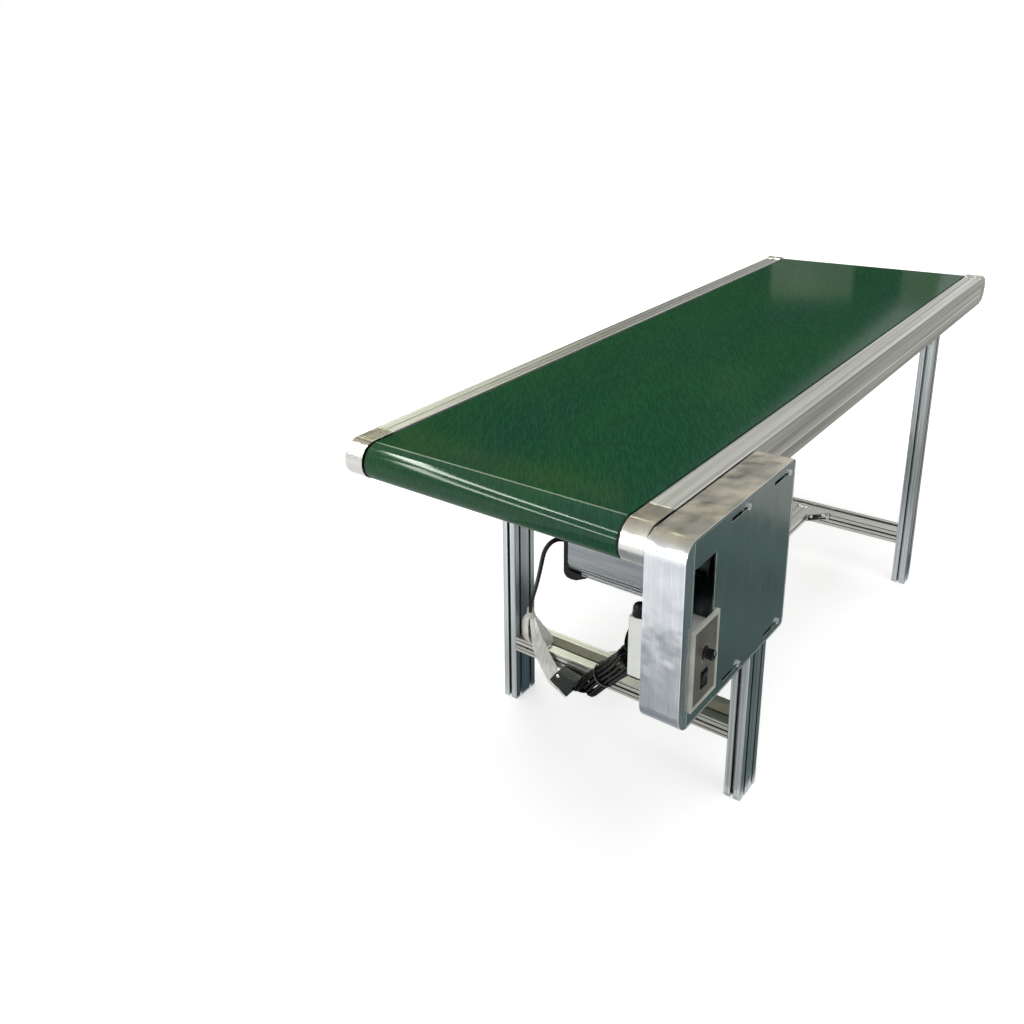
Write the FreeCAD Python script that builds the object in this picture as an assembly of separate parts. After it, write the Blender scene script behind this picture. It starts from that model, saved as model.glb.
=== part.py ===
import FreeCAD, Part
import math
import os

os.makedirs("parts", exist_ok=True)
Vector = FreeCAD.Vector

# Fixed-leg belt conveyor with a drive unit on one side.
# Millimetres, +Z up, +X from the drive end to the tail end, +Y to the left of travel.
# The origin is the centre of the floor area of the whole machine.

# ---- Driving dimensions ----
LENGTH = 1840.0                 # nose to nose over the end covers
FRAME_WIDTH = 570.0             # over the outer faces of the side rails
TOP_HEIGHT = 750.0              # floor to the top of the side rails

RAIL_WIDTH = 40.0
RAIL_HEIGHT = 70.0
RAIL_WALL = 2.5
RAIL_RIDGE = 4.0                # height of the ridge along the top outer edge
RAIL_UPPER_BAND = 19.0          # height of the upper recessed band
RAIL_RIB = 3.0                  # rib between the two recessed bands
RAIL_MIDDLE_BAND = 22.0         # height of the middle recessed band
RAIL_BAND_DEPTH = 2.0           # depth of the recessed bands
RAIL_EDGE = 1.5                 # chamfer along both top edges
RAIL_LINE_INSET = 21.0          # outer face to the line along the rail's top
RAIL_LINE_WIDTH = 2.0
RAIL_LINE_DEPTH = 0.6

DRIVE_COVER_LENGTH = 85.0       # nose to the seam with the rail
TAIL_COVER_LENGTH = 45.0
COVER_STEP = 1.0                # covers lie this far inside the rail outline
TAIL_LUG_LENGTH = 12.0          # lug of the tail cover that lies on the rail
TAIL_LUG_HEIGHT = 2.5

BELT_SIDE_GAP = 5.0             # belt edge to rail
BELT_THICKNESS = 3.0
BELT_DROP = 2.0                 # belt surface below the rail top
ROLLER_RADIUS = 30.0
ROLLER_SIDE_GAP = 5.0           # roller barrel to rail
JOURNAL_RADIUS = 10.0
JOURNAL_DEPTH = 30.0            # how far a journal bore enters its end cover
JOURNAL_END_GAP = 1.0           # journal end to the bottom of its bore
RUNNING_FIT = 0.05              # radial clearance of journals in their bores
WRAP_GAP = 0.3                  # gap between a belt and what turns inside it

BED_THICKNESS = 2.0
BED_END_GAP = 10.0              # slider bed to roller
BED_RIB_COUNT = 4
BED_RIB_WIDTH = 30.0
BED_RIB_HEIGHT = 20.0

NEAR_LEG_X = 433.0              # drive nose to the front face of the near legs
LEG_SPACING = 1014.0            # front face to front face
NEAR_LEG_DEPTH = 72.0           # along the conveyor
FAR_LEG_DEPTH = 40.0
LEG_THICKNESS = 32.0            # across the conveyor
LEG_INSET = 12.0                # leg inside the outer face of the rail
SLOT_MOUTH = 7.0
SLOT_LIP = 2.2
SLOT_CHAMBER = 14.0
SLOT_DEPTH = 8.5
LEG_CORE_RADIUS = 4.25          # bore in each core, tapping size for M10 feet
LEG_EDGE = 1.5

NEAR_BEAM_BOTTOM = 127.0        # the near crossbar is the near leg's profile laid flat
NEAR_BEAM_RIM = 22.0            # side of the beam to the shallow channel in its top
FAR_BEAM_BOTTOM = 110.0
FAR_BEAM_HEIGHT = 40.0
FAR_BEAM_RIM = 13.0
STRETCHER_BOTTOM = 129.0
STRETCHER_WIDTH = 50.0
STRETCHER_HEIGHT = 22.0
STRETCHER_RIM = 11.0
BEAM_CHANNEL_DEPTH = 3.0
BEAM_LINE_WIDTH = 5.0           # slot along the middle of each side of a beam
BEAM_LINE_DEPTH = 4.0

STRETCHER_BRACKET_SIZE = 46.0
STRETCHER_BRACKET_WIDTH = 20.0
LEG_BRACKET_SIZE = 30.0
LEG_BRACKET_WIDTH = 18.0
BRACKET_WALL = 5.0
BRACKET_BOLT_RADIUS = 5.5
BRACKET_BOLT_HEIGHT = 5.0
BRACKET_BOLT_FROM_END = 14.0    # end of the arm to the bolt's centre

HOUSING_OVERHANG = 7.0          # housing ahead of the drive nose
HOUSING_LENGTH = 370.0
HOUSING_HEIGHT = 296.0
HOUSING_DEPTH = 60.0
HOUSING_DROP = 2.0              # housing top below the rail top
HOUSING_WALL = 2.5
HOUSING_FRONT_RADIUS = 30.0
HOUSING_REAR_RADIUS = 10.0
HOUSING_GAP = 3.0               # rail to housing, filled by spacers
HOUSING_FLANGE = 25.0           # front return flange beside the cover plate
SPACER_RADIUS = 8.0
SPACER_FROM_COVER = 10.0        # drive cover seam to the first spacer's edge
SPACER_FROM_REAR = 20.0         # housing's rear edge to the last spacer's edge
SHAFT_HOLE_GAP = 5.0            # radial gap round each shaft in the housing
PLATE_FIT = 1.2                 # cover plate to rim

SCREW_SLOT_LENGTH = 60.0
SCREW_SLOT_HEIGHT = 6.0
SCREW_SLOT_INSET = 14.0         # slot centre line to the plate edge
SCREW_SLOT_REAR = 18.0          # rear slot end to the plate's rear edge
SCREW_SLOT_SPACING = 150.0      # rear slot to middle slot
SCREW_HEAD_RADIUS = 5.0
SCREW_HEAD_HEIGHT = 3.0
SCREW_RADIUS = 2.5
TAB_WIDTH = 18.0

WINDOW_WIDTH = 66.0
WINDOW_HEIGHT = 100.0
WINDOW_TOP = 46.0               # window top below the housing top
WINDOW_GAP = 4.0                # front flange to window

BEZEL_WIDTH = 80.0
BEZEL_HEIGHT = 130.0
BEZEL_THICKNESS = 5.0
BEZEL_BORDER = 5.0
BEZEL_RECESS = 2.0
BEZEL_BOTTOM = 26.0             # bezel above the housing bottom
BEZEL_FRONT = 27.0              # bezel behind the housing front
CONTROLLER_WIDTH = 60.0
CONTROLLER_HEIGHT = 98.0
CONTROLLER_DEPTH = 100.0
CONTROLLER_FIT = 1.0
KNOB_RADIUS = 10.0
KNOB_LENGTH = 15.0
KNOB_ABOVE_CENTRE = 14.0
ROCKER_WIDTH = 15.0
ROCKER_HEIGHT = 24.0
ROCKER_PROUD = 4.0
ROCKER_BELOW_CENTRE = 28.0
GLAND_RADIUS = 10.5
GLAND_BASE_EDGE = 0.5           # base wider than the cap, all round
GLAND_BASE_HEIGHT = 5.0
GLAND_CAP_HEIGHT = 16.0
GLAND_FROM_BACK = 11.5
GLAND_FROM_FRONT = 11.5

MOTOR_SIZE = 90.0
MOTOR_CORNER = 12.0
MOTOR_FRONT = 100.0             # drive nose to motor front
MOTOR_BELOW_BELT = 8.0          # return belt to motor top
GEARBOX_LENGTH = 44.0
MOTOR_LENGTH = 143.0
MOTOR_GROOVE_DEPTH = 2.0
MOTOR_GROOVE_WIDTH = 5.0
MOTOR_CAP_LENGTH = 8.0
MOTOR_CAP_DROP = 12.0           # terminal box below the motor body
TERMINAL_LENGTH = 33.0
TERMINAL_WIDTH = 60.0
TERMINAL_CORNER = 8.0
GEARBOX_OFFSET = 18.0           # output shaft above the motor axis
GEARBOX_END_WALL = 4.0          # bottom of the shaft bore to the motor
SHAFT_RADIUS = 7.5
SHAFT_END_GAP = 1.0             # shaft end to the bottom of its bore

LEAD_EXIT_BELOW_AXIS = 18.0     # motor axis to its lead
LEAD_GLAND_RADIUS = 8.0
LEAD_GLAND_TIP = 5.5
LEAD_GLAND_LENGTH = 14.0
MOTOR_LEAD_RADIUS = 4.0
CONTROLLER_LEAD_RADIUS = 3.0
CONTROLLER_LEAD_BACK = 18.5     # controller's back to its lead
CONTROLLER_LEAD_TOP = 22.0      # controller's top to its lead
CONTROLLER_GLAND_RADIUS = 7.0
CONTROLLER_GLAND_TIP = 4.5
CONTROLLER_GLAND_LENGTH = 12.0
SLEEVE_NECK_RADIUS = 11.0
SLEEVE_NECK_LENGTH = 36.0
SLEEVE_FLAP = 6.0               # thickness of the flap in front of the crossbar
SLEEVE_DEPTH = 45.0             # body of the sleeve on top of the crossbar
CONNECTOR_THICKNESS = 28.0
HANK_RADIUS = 23.0
HANK_END = 15.0                 # centre of the hank's last turn to its flat end
TIE_THICKNESS = 1.5
TIE_WIDTH = 8.0
TIE_GAP = 0.2

DRIVE_PULLEY_RADIUS = 24.0
MOTOR_PULLEY_RADIUS = 18.0
PULLEY_WIDTH = 20.0
PULLEY_FLANGE = 2.0
PULLEY_BELT_GAP = 0.5           # timing belt edge to pulley flange
PULLEY_PLATE_GAP = 10.0         # pulley to the housing's inner plate
TIMING_BELT_WIDTH = 14.0
TIMING_BELT_THICKNESS = 2.0

# ---- Derived places ----
KNOB_PROUD = BEZEL_THICKNESS - BEZEL_RECESS + KNOB_LENGTH
SIDE_PROTRUSION = HOUSING_GAP + HOUSING_DEPTH + KNOB_PROUD
CENTRE_Y = SIDE_PROTRUSION / 2.0
DRIVE_NOSE_X = HOUSING_OVERHANG - (LENGTH + HOUSING_OVERHANG) / 2.0
TAIL_NOSE_X = DRIVE_NOSE_X + LENGTH
RAIL_BOTTOM = TOP_HEIGHT - RAIL_HEIGHT
LEFT = 1.0
RIGHT = -1.0

COVER_RADIUS = RAIL_HEIGHT / 2.0 - COVER_STEP
AXIS_Z = TOP_HEIGHT - RAIL_HEIGHT / 2.0
BELT_WIDTH = FRAME_WIDTH - 2.0 * (RAIL_WIDTH + BELT_SIDE_GAP)
ROLLER_LENGTH = FRAME_WIDTH - 2.0 * (RAIL_WIDTH + ROLLER_SIDE_GAP)
BELT_INNER = ROLLER_RADIUS + WRAP_GAP
BELT_OUTER = BELT_INNER + BELT_THICKNESS
ROLLER_AXIS_Z = TOP_HEIGHT - BELT_DROP - BELT_OUTER
DRIVE_AXIS_X = DRIVE_NOSE_X + RAIL_HEIGHT / 2.0
TAIL_AXIS_X = TAIL_NOSE_X - RAIL_HEIGHT / 2.0
RETURN_BOTTOM = ROLLER_AXIS_Z - BELT_OUTER

NEAR_LEG_FRONT = DRIVE_NOSE_X + NEAR_LEG_X
NEAR_LEG_BACK = NEAR_LEG_FRONT + NEAR_LEG_DEPTH
NEAR_BEAM_TOP = NEAR_BEAM_BOTTOM + LEG_THICKNESS
FAR_LEG_FRONT = NEAR_LEG_FRONT + LEG_SPACING
LEG_INNER = FRAME_WIDTH / 2.0 - LEG_INSET - LEG_THICKNESS

HOUSING_X0 = DRIVE_NOSE_X - HOUSING_OVERHANG
HOUSING_X1 = HOUSING_X0 + HOUSING_LENGTH
HOUSING_Z1 = TOP_HEIGHT - HOUSING_DROP
HOUSING_Z0 = HOUSING_Z1 - HOUSING_HEIGHT
RAIL_OUTER_Y = CENTRE_Y - FRAME_WIDTH / 2.0
HOUSING_IN_Y = RAIL_OUTER_Y - HOUSING_GAP
HOUSING_OUT_Y = HOUSING_IN_Y - HOUSING_DEPTH
PLATE_IN_Y = HOUSING_OUT_Y + HOUSING_WALL

BEZEL_X0 = HOUSING_X0 + BEZEL_FRONT
BEZEL_Z0 = HOUSING_Z0 + BEZEL_BOTTOM
BEZEL_CX = BEZEL_X0 + BEZEL_WIDTH / 2.0
BEZEL_CZ = BEZEL_Z0 + BEZEL_HEIGHT / 2.0
CONTROLLER_X0 = BEZEL_CX - CONTROLLER_WIDTH / 2.0
CONTROLLER_X1 = CONTROLLER_X0 + CONTROLLER_WIDTH
CONTROLLER_Z0 = BEZEL_CZ - CONTROLLER_HEIGHT / 2.0
CONTROLLER_Z1 = CONTROLLER_Z0 + CONTROLLER_HEIGHT
CONTROLLER_BACK_Y = HOUSING_OUT_Y + CONTROLLER_DEPTH
WINDOW_X0 = HOUSING_X0 + HOUSING_FLANGE + WINDOW_GAP
WINDOW_Z1 = HOUSING_Z1 - WINDOW_TOP

MOTOR_X0 = DRIVE_NOSE_X + MOTOR_FRONT
MOTOR_AXIS_X = MOTOR_X0 + MOTOR_SIZE / 2.0
MOTOR_Z1 = RETURN_BOTTOM - MOTOR_BELOW_BELT
MOTOR_AXIS_Z = MOTOR_Z1 - MOTOR_SIZE / 2.0
GEARBOX_Y1 = HOUSING_IN_Y + GEARBOX_LENGTH
MOTOR_END_Y = GEARBOX_Y1 + MOTOR_LENGTH
CAP_END_Y = MOTOR_END_Y + MOTOR_CAP_LENGTH
SHAFT_Z = MOTOR_AXIS_Z + GEARBOX_OFFSET
PULLEY_Y1 = HOUSING_IN_Y - HOUSING_WALL - PULLEY_PLATE_GAP
PULLEY_Y0 = PULLEY_Y1 - PULLEY_WIDTH


# ---- Shape helpers ----
def box(x0, x1, y0, y1, z0, z1):
    return Part.makeBox(x1 - x0, y1 - y0, z1 - z0, Vector(x0, y0, z0))


def cylinder_y(x, z, y0, y1, radius):
    return Part.makeCylinder(radius, y1 - y0, Vector(x, y0, z), Vector(0, 1, 0))


def prism(points, direction):
    wire = Part.makePolygon(points + [points[0]])
    return Part.Face(wire).extrude(direction)


def side_y(side, inset):
    return CENTRE_Y + side * (FRAME_WIDTH / 2.0 - inset)


def side_box(side, x0, x1, inset0, inset1, z0, z1):
    ya = side_y(side, inset0)
    yb = side_y(side, inset1)
    return box(x0, x1, min(ya, yb), max(ya, yb), z0, z1)


def fuse_all(shapes):
    whole = shapes[0].fuse(shapes[1:])
    return whole.removeSplitter()


def cut_all(shape, tools):
    return shape.cut(tools)


def tangent_loop(x1, z1, r1, x2, z2, r2, y0, y1):
    # Solid outline of two circles joined by their outer tangents, extruded across.
    dx = x2 - x1
    dz = z2 - z1
    distance = math.hypot(dx, dz)
    heading = math.atan2(dz, dx)
    lean = math.acos((r1 - r2) / distance)

    def on(cx, cz, radius, angle):
        return Vector(cx + radius * math.cos(angle), y0, cz + radius * math.sin(angle))

    top1 = on(x1, z1, r1, heading + lean)
    top2 = on(x2, z2, r2, heading + lean)
    low1 = on(x1, z1, r1, heading - lean)
    low2 = on(x2, z2, r2, heading - lean)
    back = on(x1, z1, r1, heading + math.pi)
    front = on(x2, z2, r2, heading)
    edges = [
        Part.makeLine(top1, top2),
        Part.Arc(top2, front, low2).toShape(),
        Part.makeLine(low2, low1),
        Part.Arc(low1, back, top1).toShape(),
    ]
    face = Part.Face(Part.Wire(edges))
    return face.extrude(Vector(0, y1 - y0, 0))


def rounded_plate(x0, x1, z0, z1, y0, y1, front_radius, rear_radius):
    # Upright plate whose front corners (low x) and rear corners are rounded.
    solid = box(x0, x1, y0, y1, z0, z1)
    front = [edge for edge in solid.Edges if is_across(edge) and abs(edge.CenterOfMass.x - x0) < 0.01]
    solid = solid.makeFillet(front_radius, front)
    rear = [edge for edge in solid.Edges if is_across(edge) and abs(edge.CenterOfMass.x - x1) < 0.01]
    return solid.makeFillet(rear_radius, rear)


def is_across(edge):
    span = edge.BoundBox
    return span.YLength > 0.01 and span.XLength < 0.01 and span.ZLength < 0.01


# ---- Side rails and end covers ----
def rail(side):
    upper1 = TOP_HEIGHT - RAIL_RIDGE
    upper0 = upper1 - RAIL_UPPER_BAND
    middle1 = upper0 - RAIL_RIB
    middle0 = middle1 - RAIL_MIDDLE_BAND
    outline = [
        (RAIL_WIDTH, RAIL_BOTTOM),
        (0.0, RAIL_BOTTOM),
        (0.0, middle0),
        (RAIL_BAND_DEPTH, middle0 + RAIL_BAND_DEPTH),
        (RAIL_BAND_DEPTH, middle1),
        (0.0, middle1),
        (0.0, upper0),
        (RAIL_BAND_DEPTH, upper0),
        (RAIL_BAND_DEPTH, upper1 - RAIL_BAND_DEPTH),
        (0.0, upper1),
        (0.0, TOP_HEIGHT - RAIL_EDGE),
        (RAIL_EDGE, TOP_HEIGHT),
        (RAIL_LINE_INSET, TOP_HEIGHT),
        (RAIL_LINE_INSET, TOP_HEIGHT - RAIL_LINE_DEPTH),
        (RAIL_LINE_INSET + RAIL_LINE_WIDTH, TOP_HEIGHT - RAIL_LINE_DEPTH),
        (RAIL_LINE_INSET + RAIL_LINE_WIDTH, TOP_HEIGHT),
        (RAIL_WIDTH - RAIL_EDGE, TOP_HEIGHT),
        (RAIL_WIDTH, TOP_HEIGHT - RAIL_EDGE),
    ]
    x0 = DRIVE_NOSE_X + DRIVE_COVER_LENGTH
    x1 = TAIL_NOSE_X - TAIL_COVER_LENGTH
    points = [Vector(x0, side_y(side, inset), z) for inset, z in outline]
    body = prism(points, Vector(x1 - x0, 0, 0))
    skin = RAIL_BAND_DEPTH + RAIL_WALL
    web = (upper0 + middle1) / 2.0
    low = side_box(side, x0, x1, skin, RAIL_WIDTH - RAIL_WALL,
                   RAIL_BOTTOM + RAIL_WALL, web - RAIL_WALL / 2.0)
    high = side_box(side, x0, x1, skin, RAIL_WIDTH - RAIL_WALL,
                    web + RAIL_WALL / 2.0, TOP_HEIGHT - RAIL_WALL)
    return cut_all(body, [low, high])


def end_cover(side, nose_x, length, axis_x, through):
    # Rounded end block that carries the roller journal between rail end and nose.
    inward = 1.0 if nose_x < axis_x else -1.0
    seam_x = nose_x + inward * length
    centre_x = nose_x + inward * COVER_RADIUS
    ya = min(side_y(side, COVER_STEP), side_y(side, RAIL_WIDTH))
    yb = max(side_y(side, COVER_STEP), side_y(side, RAIL_WIDTH))
    low_z = AXIS_Z - COVER_RADIUS
    high_z = AXIS_Z + COVER_RADIUS
    nose = cylinder_y(centre_x, AXIS_Z, ya, yb, COVER_RADIUS)
    nose = nose.common(box(min(centre_x, nose_x), max(centre_x, nose_x), ya, yb, low_z, high_z))
    block = box(min(centre_x, seam_x), max(centre_x, seam_x), ya, yb, low_z, high_z)
    cover = fuse_all([nose, block])
    inner = side_y(side, RAIL_WIDTH)
    depth = RAIL_WIDTH if through else JOURNAL_DEPTH
    outer = inner + side * depth
    bore = cylinder_y(axis_x, ROLLER_AXIS_Z, min(inner, outer), max(inner, outer),
                      JOURNAL_RADIUS + RUNNING_FIT)
    return cover.cut(bore)


def tail_cover(side):
    cover = end_cover(side, TAIL_NOSE_X, TAIL_COVER_LENGTH, TAIL_AXIS_X, False)
    seam_x = TAIL_NOSE_X - TAIL_COVER_LENGTH
    lug = side_box(side, seam_x - TAIL_LUG_LENGTH, seam_x, COVER_STEP, RAIL_WIDTH,
                   TOP_HEIGHT, TOP_HEIGHT + TAIL_LUG_HEIGHT)
    foot = side_box(side, seam_x, seam_x + TAIL_LUG_LENGTH, COVER_STEP, RAIL_WIDTH,
                    AXIS_Z + COVER_RADIUS, TOP_HEIGHT + TAIL_LUG_HEIGHT)
    return fuse_all([cover, lug, foot])


# ---- Belt, bed and rollers ----
def belt():
    # One loop, built as two flat strands and two half turns that meet face to face.
    y0 = CENTRE_Y - BELT_WIDTH / 2.0
    y1 = CENTRE_Y + BELT_WIDTH / 2.0
    strands = []
    for z0 in (ROLLER_AXIS_Z + BELT_INNER, ROLLER_AXIS_Z - BELT_OUTER):
        strands.append(box(DRIVE_AXIS_X, TAIL_AXIS_X, y0, y1, z0, z0 + BELT_THICKNESS))
    turns = []
    for axis_x, outward in ((DRIVE_AXIS_X, -1.0), (TAIL_AXIS_X, 1.0)):
        ring = cylinder_y(axis_x, ROLLER_AXIS_Z, y0, y1, BELT_OUTER)
        ring = ring.cut(cylinder_y(axis_x, ROLLER_AXIS_Z, y0, y1, BELT_INNER))
        end_x = axis_x + outward * BELT_OUTER
        half = box(min(axis_x, end_x), max(axis_x, end_x), y0, y1,
                   ROLLER_AXIS_Z - BELT_OUTER, ROLLER_AXIS_Z + BELT_OUTER)
        turns.append(ring.common(half))
    return Part.makeCompound(strands + turns)


def bed_range():
    x0 = DRIVE_AXIS_X + ROLLER_RADIUS + BED_END_GAP
    x1 = TAIL_AXIS_X - ROLLER_RADIUS - BED_END_GAP
    rail0 = DRIVE_NOSE_X + DRIVE_COVER_LENGTH
    rail1 = TAIL_NOSE_X - TAIL_COVER_LENGTH
    return max(x0, rail0), min(x1, rail1)


def slider_bed():
    x0, x1 = bed_range()
    top = ROLLER_AXIS_Z + BELT_INNER
    half = FRAME_WIDTH / 2.0 - RAIL_WIDTH
    return box(x0, x1, CENTRE_Y - half, CENTRE_Y + half, top - BED_THICKNESS, top)


def bed_ribs():
    x0, x1 = bed_range()
    top = ROLLER_AXIS_Z + BELT_INNER - BED_THICKNESS
    half = FRAME_WIDTH / 2.0 - RAIL_WIDTH
    step = (x1 - x0) / BED_RIB_COUNT
    ribs = []
    for index in range(BED_RIB_COUNT):
        x = x0 + step * (index + 0.5)
        ribs.append(box(x - BED_RIB_WIDTH / 2.0, x + BED_RIB_WIDTH / 2.0,
                        CENTRE_Y - half, CENTRE_Y + half, top - BED_RIB_HEIGHT, top))
    return Part.makeCompound(ribs)


def drive_roller():
    barrel = cylinder_y(DRIVE_AXIS_X, ROLLER_AXIS_Z, CENTRE_Y - ROLLER_LENGTH / 2.0,
                        CENTRE_Y + ROLLER_LENGTH / 2.0, ROLLER_RADIUS)
    left_end = side_y(LEFT, RAIL_WIDTH - JOURNAL_DEPTH + JOURNAL_END_GAP)
    shaft = cylinder_y(DRIVE_AXIS_X, ROLLER_AXIS_Z, PULLEY_Y0, left_end, JOURNAL_RADIUS)
    return fuse_all([barrel, shaft])


def tail_roller():
    barrel = cylinder_y(TAIL_AXIS_X, ROLLER_AXIS_Z, CENTRE_Y - ROLLER_LENGTH / 2.0,
                        CENTRE_Y + ROLLER_LENGTH / 2.0, ROLLER_RADIUS)
    left_end = side_y(LEFT, RAIL_WIDTH - JOURNAL_DEPTH + JOURNAL_END_GAP)
    right_end = side_y(RIGHT, RAIL_WIDTH - JOURNAL_DEPTH + JOURNAL_END_GAP)
    shaft = cylinder_y(TAIL_AXIS_X, ROLLER_AXIS_Z, right_end, left_end, JOURNAL_RADIUS)
    return fuse_all([barrel, shaft])


def pulley(x, z, radius, bore):
    y0 = PULLEY_Y0
    y1 = PULLEY_Y1
    lip = (PULLEY_WIDTH - TIMING_BELT_WIDTH) / 2.0 - PULLEY_BELT_GAP
    pieces = [
        cylinder_y(x, z, y0, y1, radius),
        cylinder_y(x, z, y0, y0 + lip, radius + PULLEY_FLANGE),
        cylinder_y(x, z, y1 - lip, y1, radius + PULLEY_FLANGE),
    ]
    wheel = fuse_all(pieces)
    if bore > 0.0:
        wheel = wheel.cut(cylinder_y(x, z, y0, y1, bore))
    return wheel


def motor_pulley():
    wheel = pulley(MOTOR_AXIS_X, SHAFT_Z, MOTOR_PULLEY_RADIUS, 0.0)
    shaft_end = GEARBOX_Y1 - GEARBOX_END_WALL - SHAFT_END_GAP
    shaft = cylinder_y(MOTOR_AXIS_X, SHAFT_Z, PULLEY_Y0, shaft_end, SHAFT_RADIUS)
    return fuse_all([wheel, shaft])


def timing_belt():
    middle = (PULLEY_Y0 + PULLEY_Y1) / 2.0
    y0 = middle - TIMING_BELT_WIDTH / 2.0
    y1 = middle + TIMING_BELT_WIDTH / 2.0
    r1 = DRIVE_PULLEY_RADIUS + WRAP_GAP
    r2 = MOTOR_PULLEY_RADIUS + WRAP_GAP
    outer = tangent_loop(DRIVE_AXIS_X, ROLLER_AXIS_Z, r1 + TIMING_BELT_THICKNESS,
                         MOTOR_AXIS_X, SHAFT_Z, r2 + TIMING_BELT_THICKNESS, y0, y1)
    inner = tangent_loop(DRIVE_AXIS_X, ROLLER_AXIS_Z, r1, MOTOR_AXIS_X, SHAFT_Z, r2, y0, y1)
    return outer.cut(inner)


# ---- Legs, beams and brackets ----
def slot(face, inward, middle, along_x):
    # Undercut slot, full height: narrow mouth at the face and a wider chamber behind it.
    pieces = []
    for start, end, width in ((0.0, SLOT_LIP, SLOT_MOUTH), (SLOT_LIP, SLOT_DEPTH, SLOT_CHAMBER)):
        low = min(face + inward * start, face + inward * end)
        high = max(face + inward * start, face + inward * end)
        if along_x:
            pieces.append(box(low, high, middle - width / 2.0, middle + width / 2.0, 0.0, RAIL_BOTTOM))
        else:
            pieces.append(box(middle - width / 2.0, middle + width / 2.0, low, high, 0.0, RAIL_BOTTOM))
    return pieces


def leg(side, front_x, leg_depth, cores):
    # Profile with one slot in each narrow face, and a core with a slot each side of it.
    x0 = front_x
    x1 = front_x + leg_depth
    outer = side_y(side, LEG_INSET)
    inner = side_y(side, LEG_INSET + LEG_THICKNESS)
    y0 = min(outer, inner)
    y1 = max(outer, inner)
    middle_y = (y0 + y1) / 2.0
    body = box(x0, x1, y0, y1, 0.0, RAIL_BOTTOM)
    corners = [edge for edge in body.Edges if edge.BoundBox.ZLength > RAIL_BOTTOM - 1.0]
    body = body.makeFillet(LEG_EDGE, corners)
    tools = slot(x0, 1.0, middle_y, True) + slot(x1, -1.0, middle_y, True)
    for number in range(cores):
        core_x = x0 + leg_depth * (2 * number + 1) / (2.0 * cores)
        tools += slot(y0, 1.0, core_x, False)
        tools += slot(y1, -1.0, core_x, False)
        tools.append(Part.makeCylinder(LEG_CORE_RADIUS, RAIL_BOTTOM, Vector(core_x, middle_y, 0.0)))
    return cut_all(body, tools)


def near_leg(side):
    return leg(side, NEAR_LEG_FRONT, NEAR_LEG_DEPTH, 2)


def far_leg(side):
    return leg(side, FAR_LEG_FRONT, FAR_LEG_DEPTH, 1)


def beam_along_y(x0, x1, y0, y1, z0, z1, rim):
    # Shallow channel along the top and the underside, and a slot along each side.
    middle = (z0 + z1) / 2.0
    low = middle - BEAM_LINE_WIDTH / 2.0
    high = middle + BEAM_LINE_WIDTH / 2.0
    tools = [
        box(x0 + rim, x1 - rim, y0, y1, z1 - BEAM_CHANNEL_DEPTH, z1),
        box(x0 + rim, x1 - rim, y0, y1, z0, z0 + BEAM_CHANNEL_DEPTH),
        box(x0, x0 + BEAM_LINE_DEPTH, y0, y1, low, high),
        box(x1 - BEAM_LINE_DEPTH, x1, y0, y1, low, high),
    ]
    return cut_all(box(x0, x1, y0, y1, z0, z1), tools)


def near_crossbar():
    return beam_along_y(NEAR_LEG_FRONT, NEAR_LEG_BACK, CENTRE_Y - LEG_INNER, CENTRE_Y + LEG_INNER,
                        NEAR_BEAM_BOTTOM, NEAR_BEAM_TOP, NEAR_BEAM_RIM)


def far_crossbar():
    return beam_along_y(FAR_LEG_FRONT, FAR_LEG_FRONT + FAR_LEG_DEPTH,
                        CENTRE_Y - LEG_INNER, CENTRE_Y + LEG_INNER,
                        FAR_BEAM_BOTTOM, FAR_BEAM_BOTTOM + FAR_BEAM_HEIGHT, FAR_BEAM_RIM)


def stretcher():
    half = STRETCHER_WIDTH / 2.0
    bar = beam_along_y(-half, half, -FAR_LEG_FRONT, -NEAR_LEG_BACK,
                       STRETCHER_BOTTOM, STRETCHER_BOTTOM + STRETCHER_HEIGHT, STRETCHER_RIM)
    bar.rotate(Vector(0, 0, 0), Vector(0, 0, 1), 90.0)
    bar.translate(Vector(0, CENTRE_Y, 0))
    return bar


def corner_bracket(size, width):
    # Cast angle with two side webs: corner at the origin, arms along +X and +Y.
    half = width / 2.0
    web = BRACKET_WALL / 2.0
    arm_x = box(0, size, 0, BRACKET_WALL, -half, half)
    arm_y = box(0, BRACKET_WALL, 0, size, -half, half)
    pieces = [arm_x, arm_y]
    for z in (-half, half - web):
        corner = [
            Vector(BRACKET_WALL, BRACKET_WALL, z),
            Vector(size, BRACKET_WALL, z),
            Vector(BRACKET_WALL, size, z),
        ]
        pieces.append(prism(corner, Vector(0, 0, web)))
    seat = size - BRACKET_BOLT_FROM_END
    pieces.append(Part.makeCylinder(BRACKET_BOLT_RADIUS, BRACKET_BOLT_HEIGHT,
                                    Vector(seat, BRACKET_WALL, 0), Vector(0, 1, 0)))
    pieces.append(Part.makeCylinder(BRACKET_BOLT_RADIUS, BRACKET_BOLT_HEIGHT,
                                    Vector(BRACKET_WALL, seat, 0), Vector(1, 0, 0)))
    return fuse_all(pieces)


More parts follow.
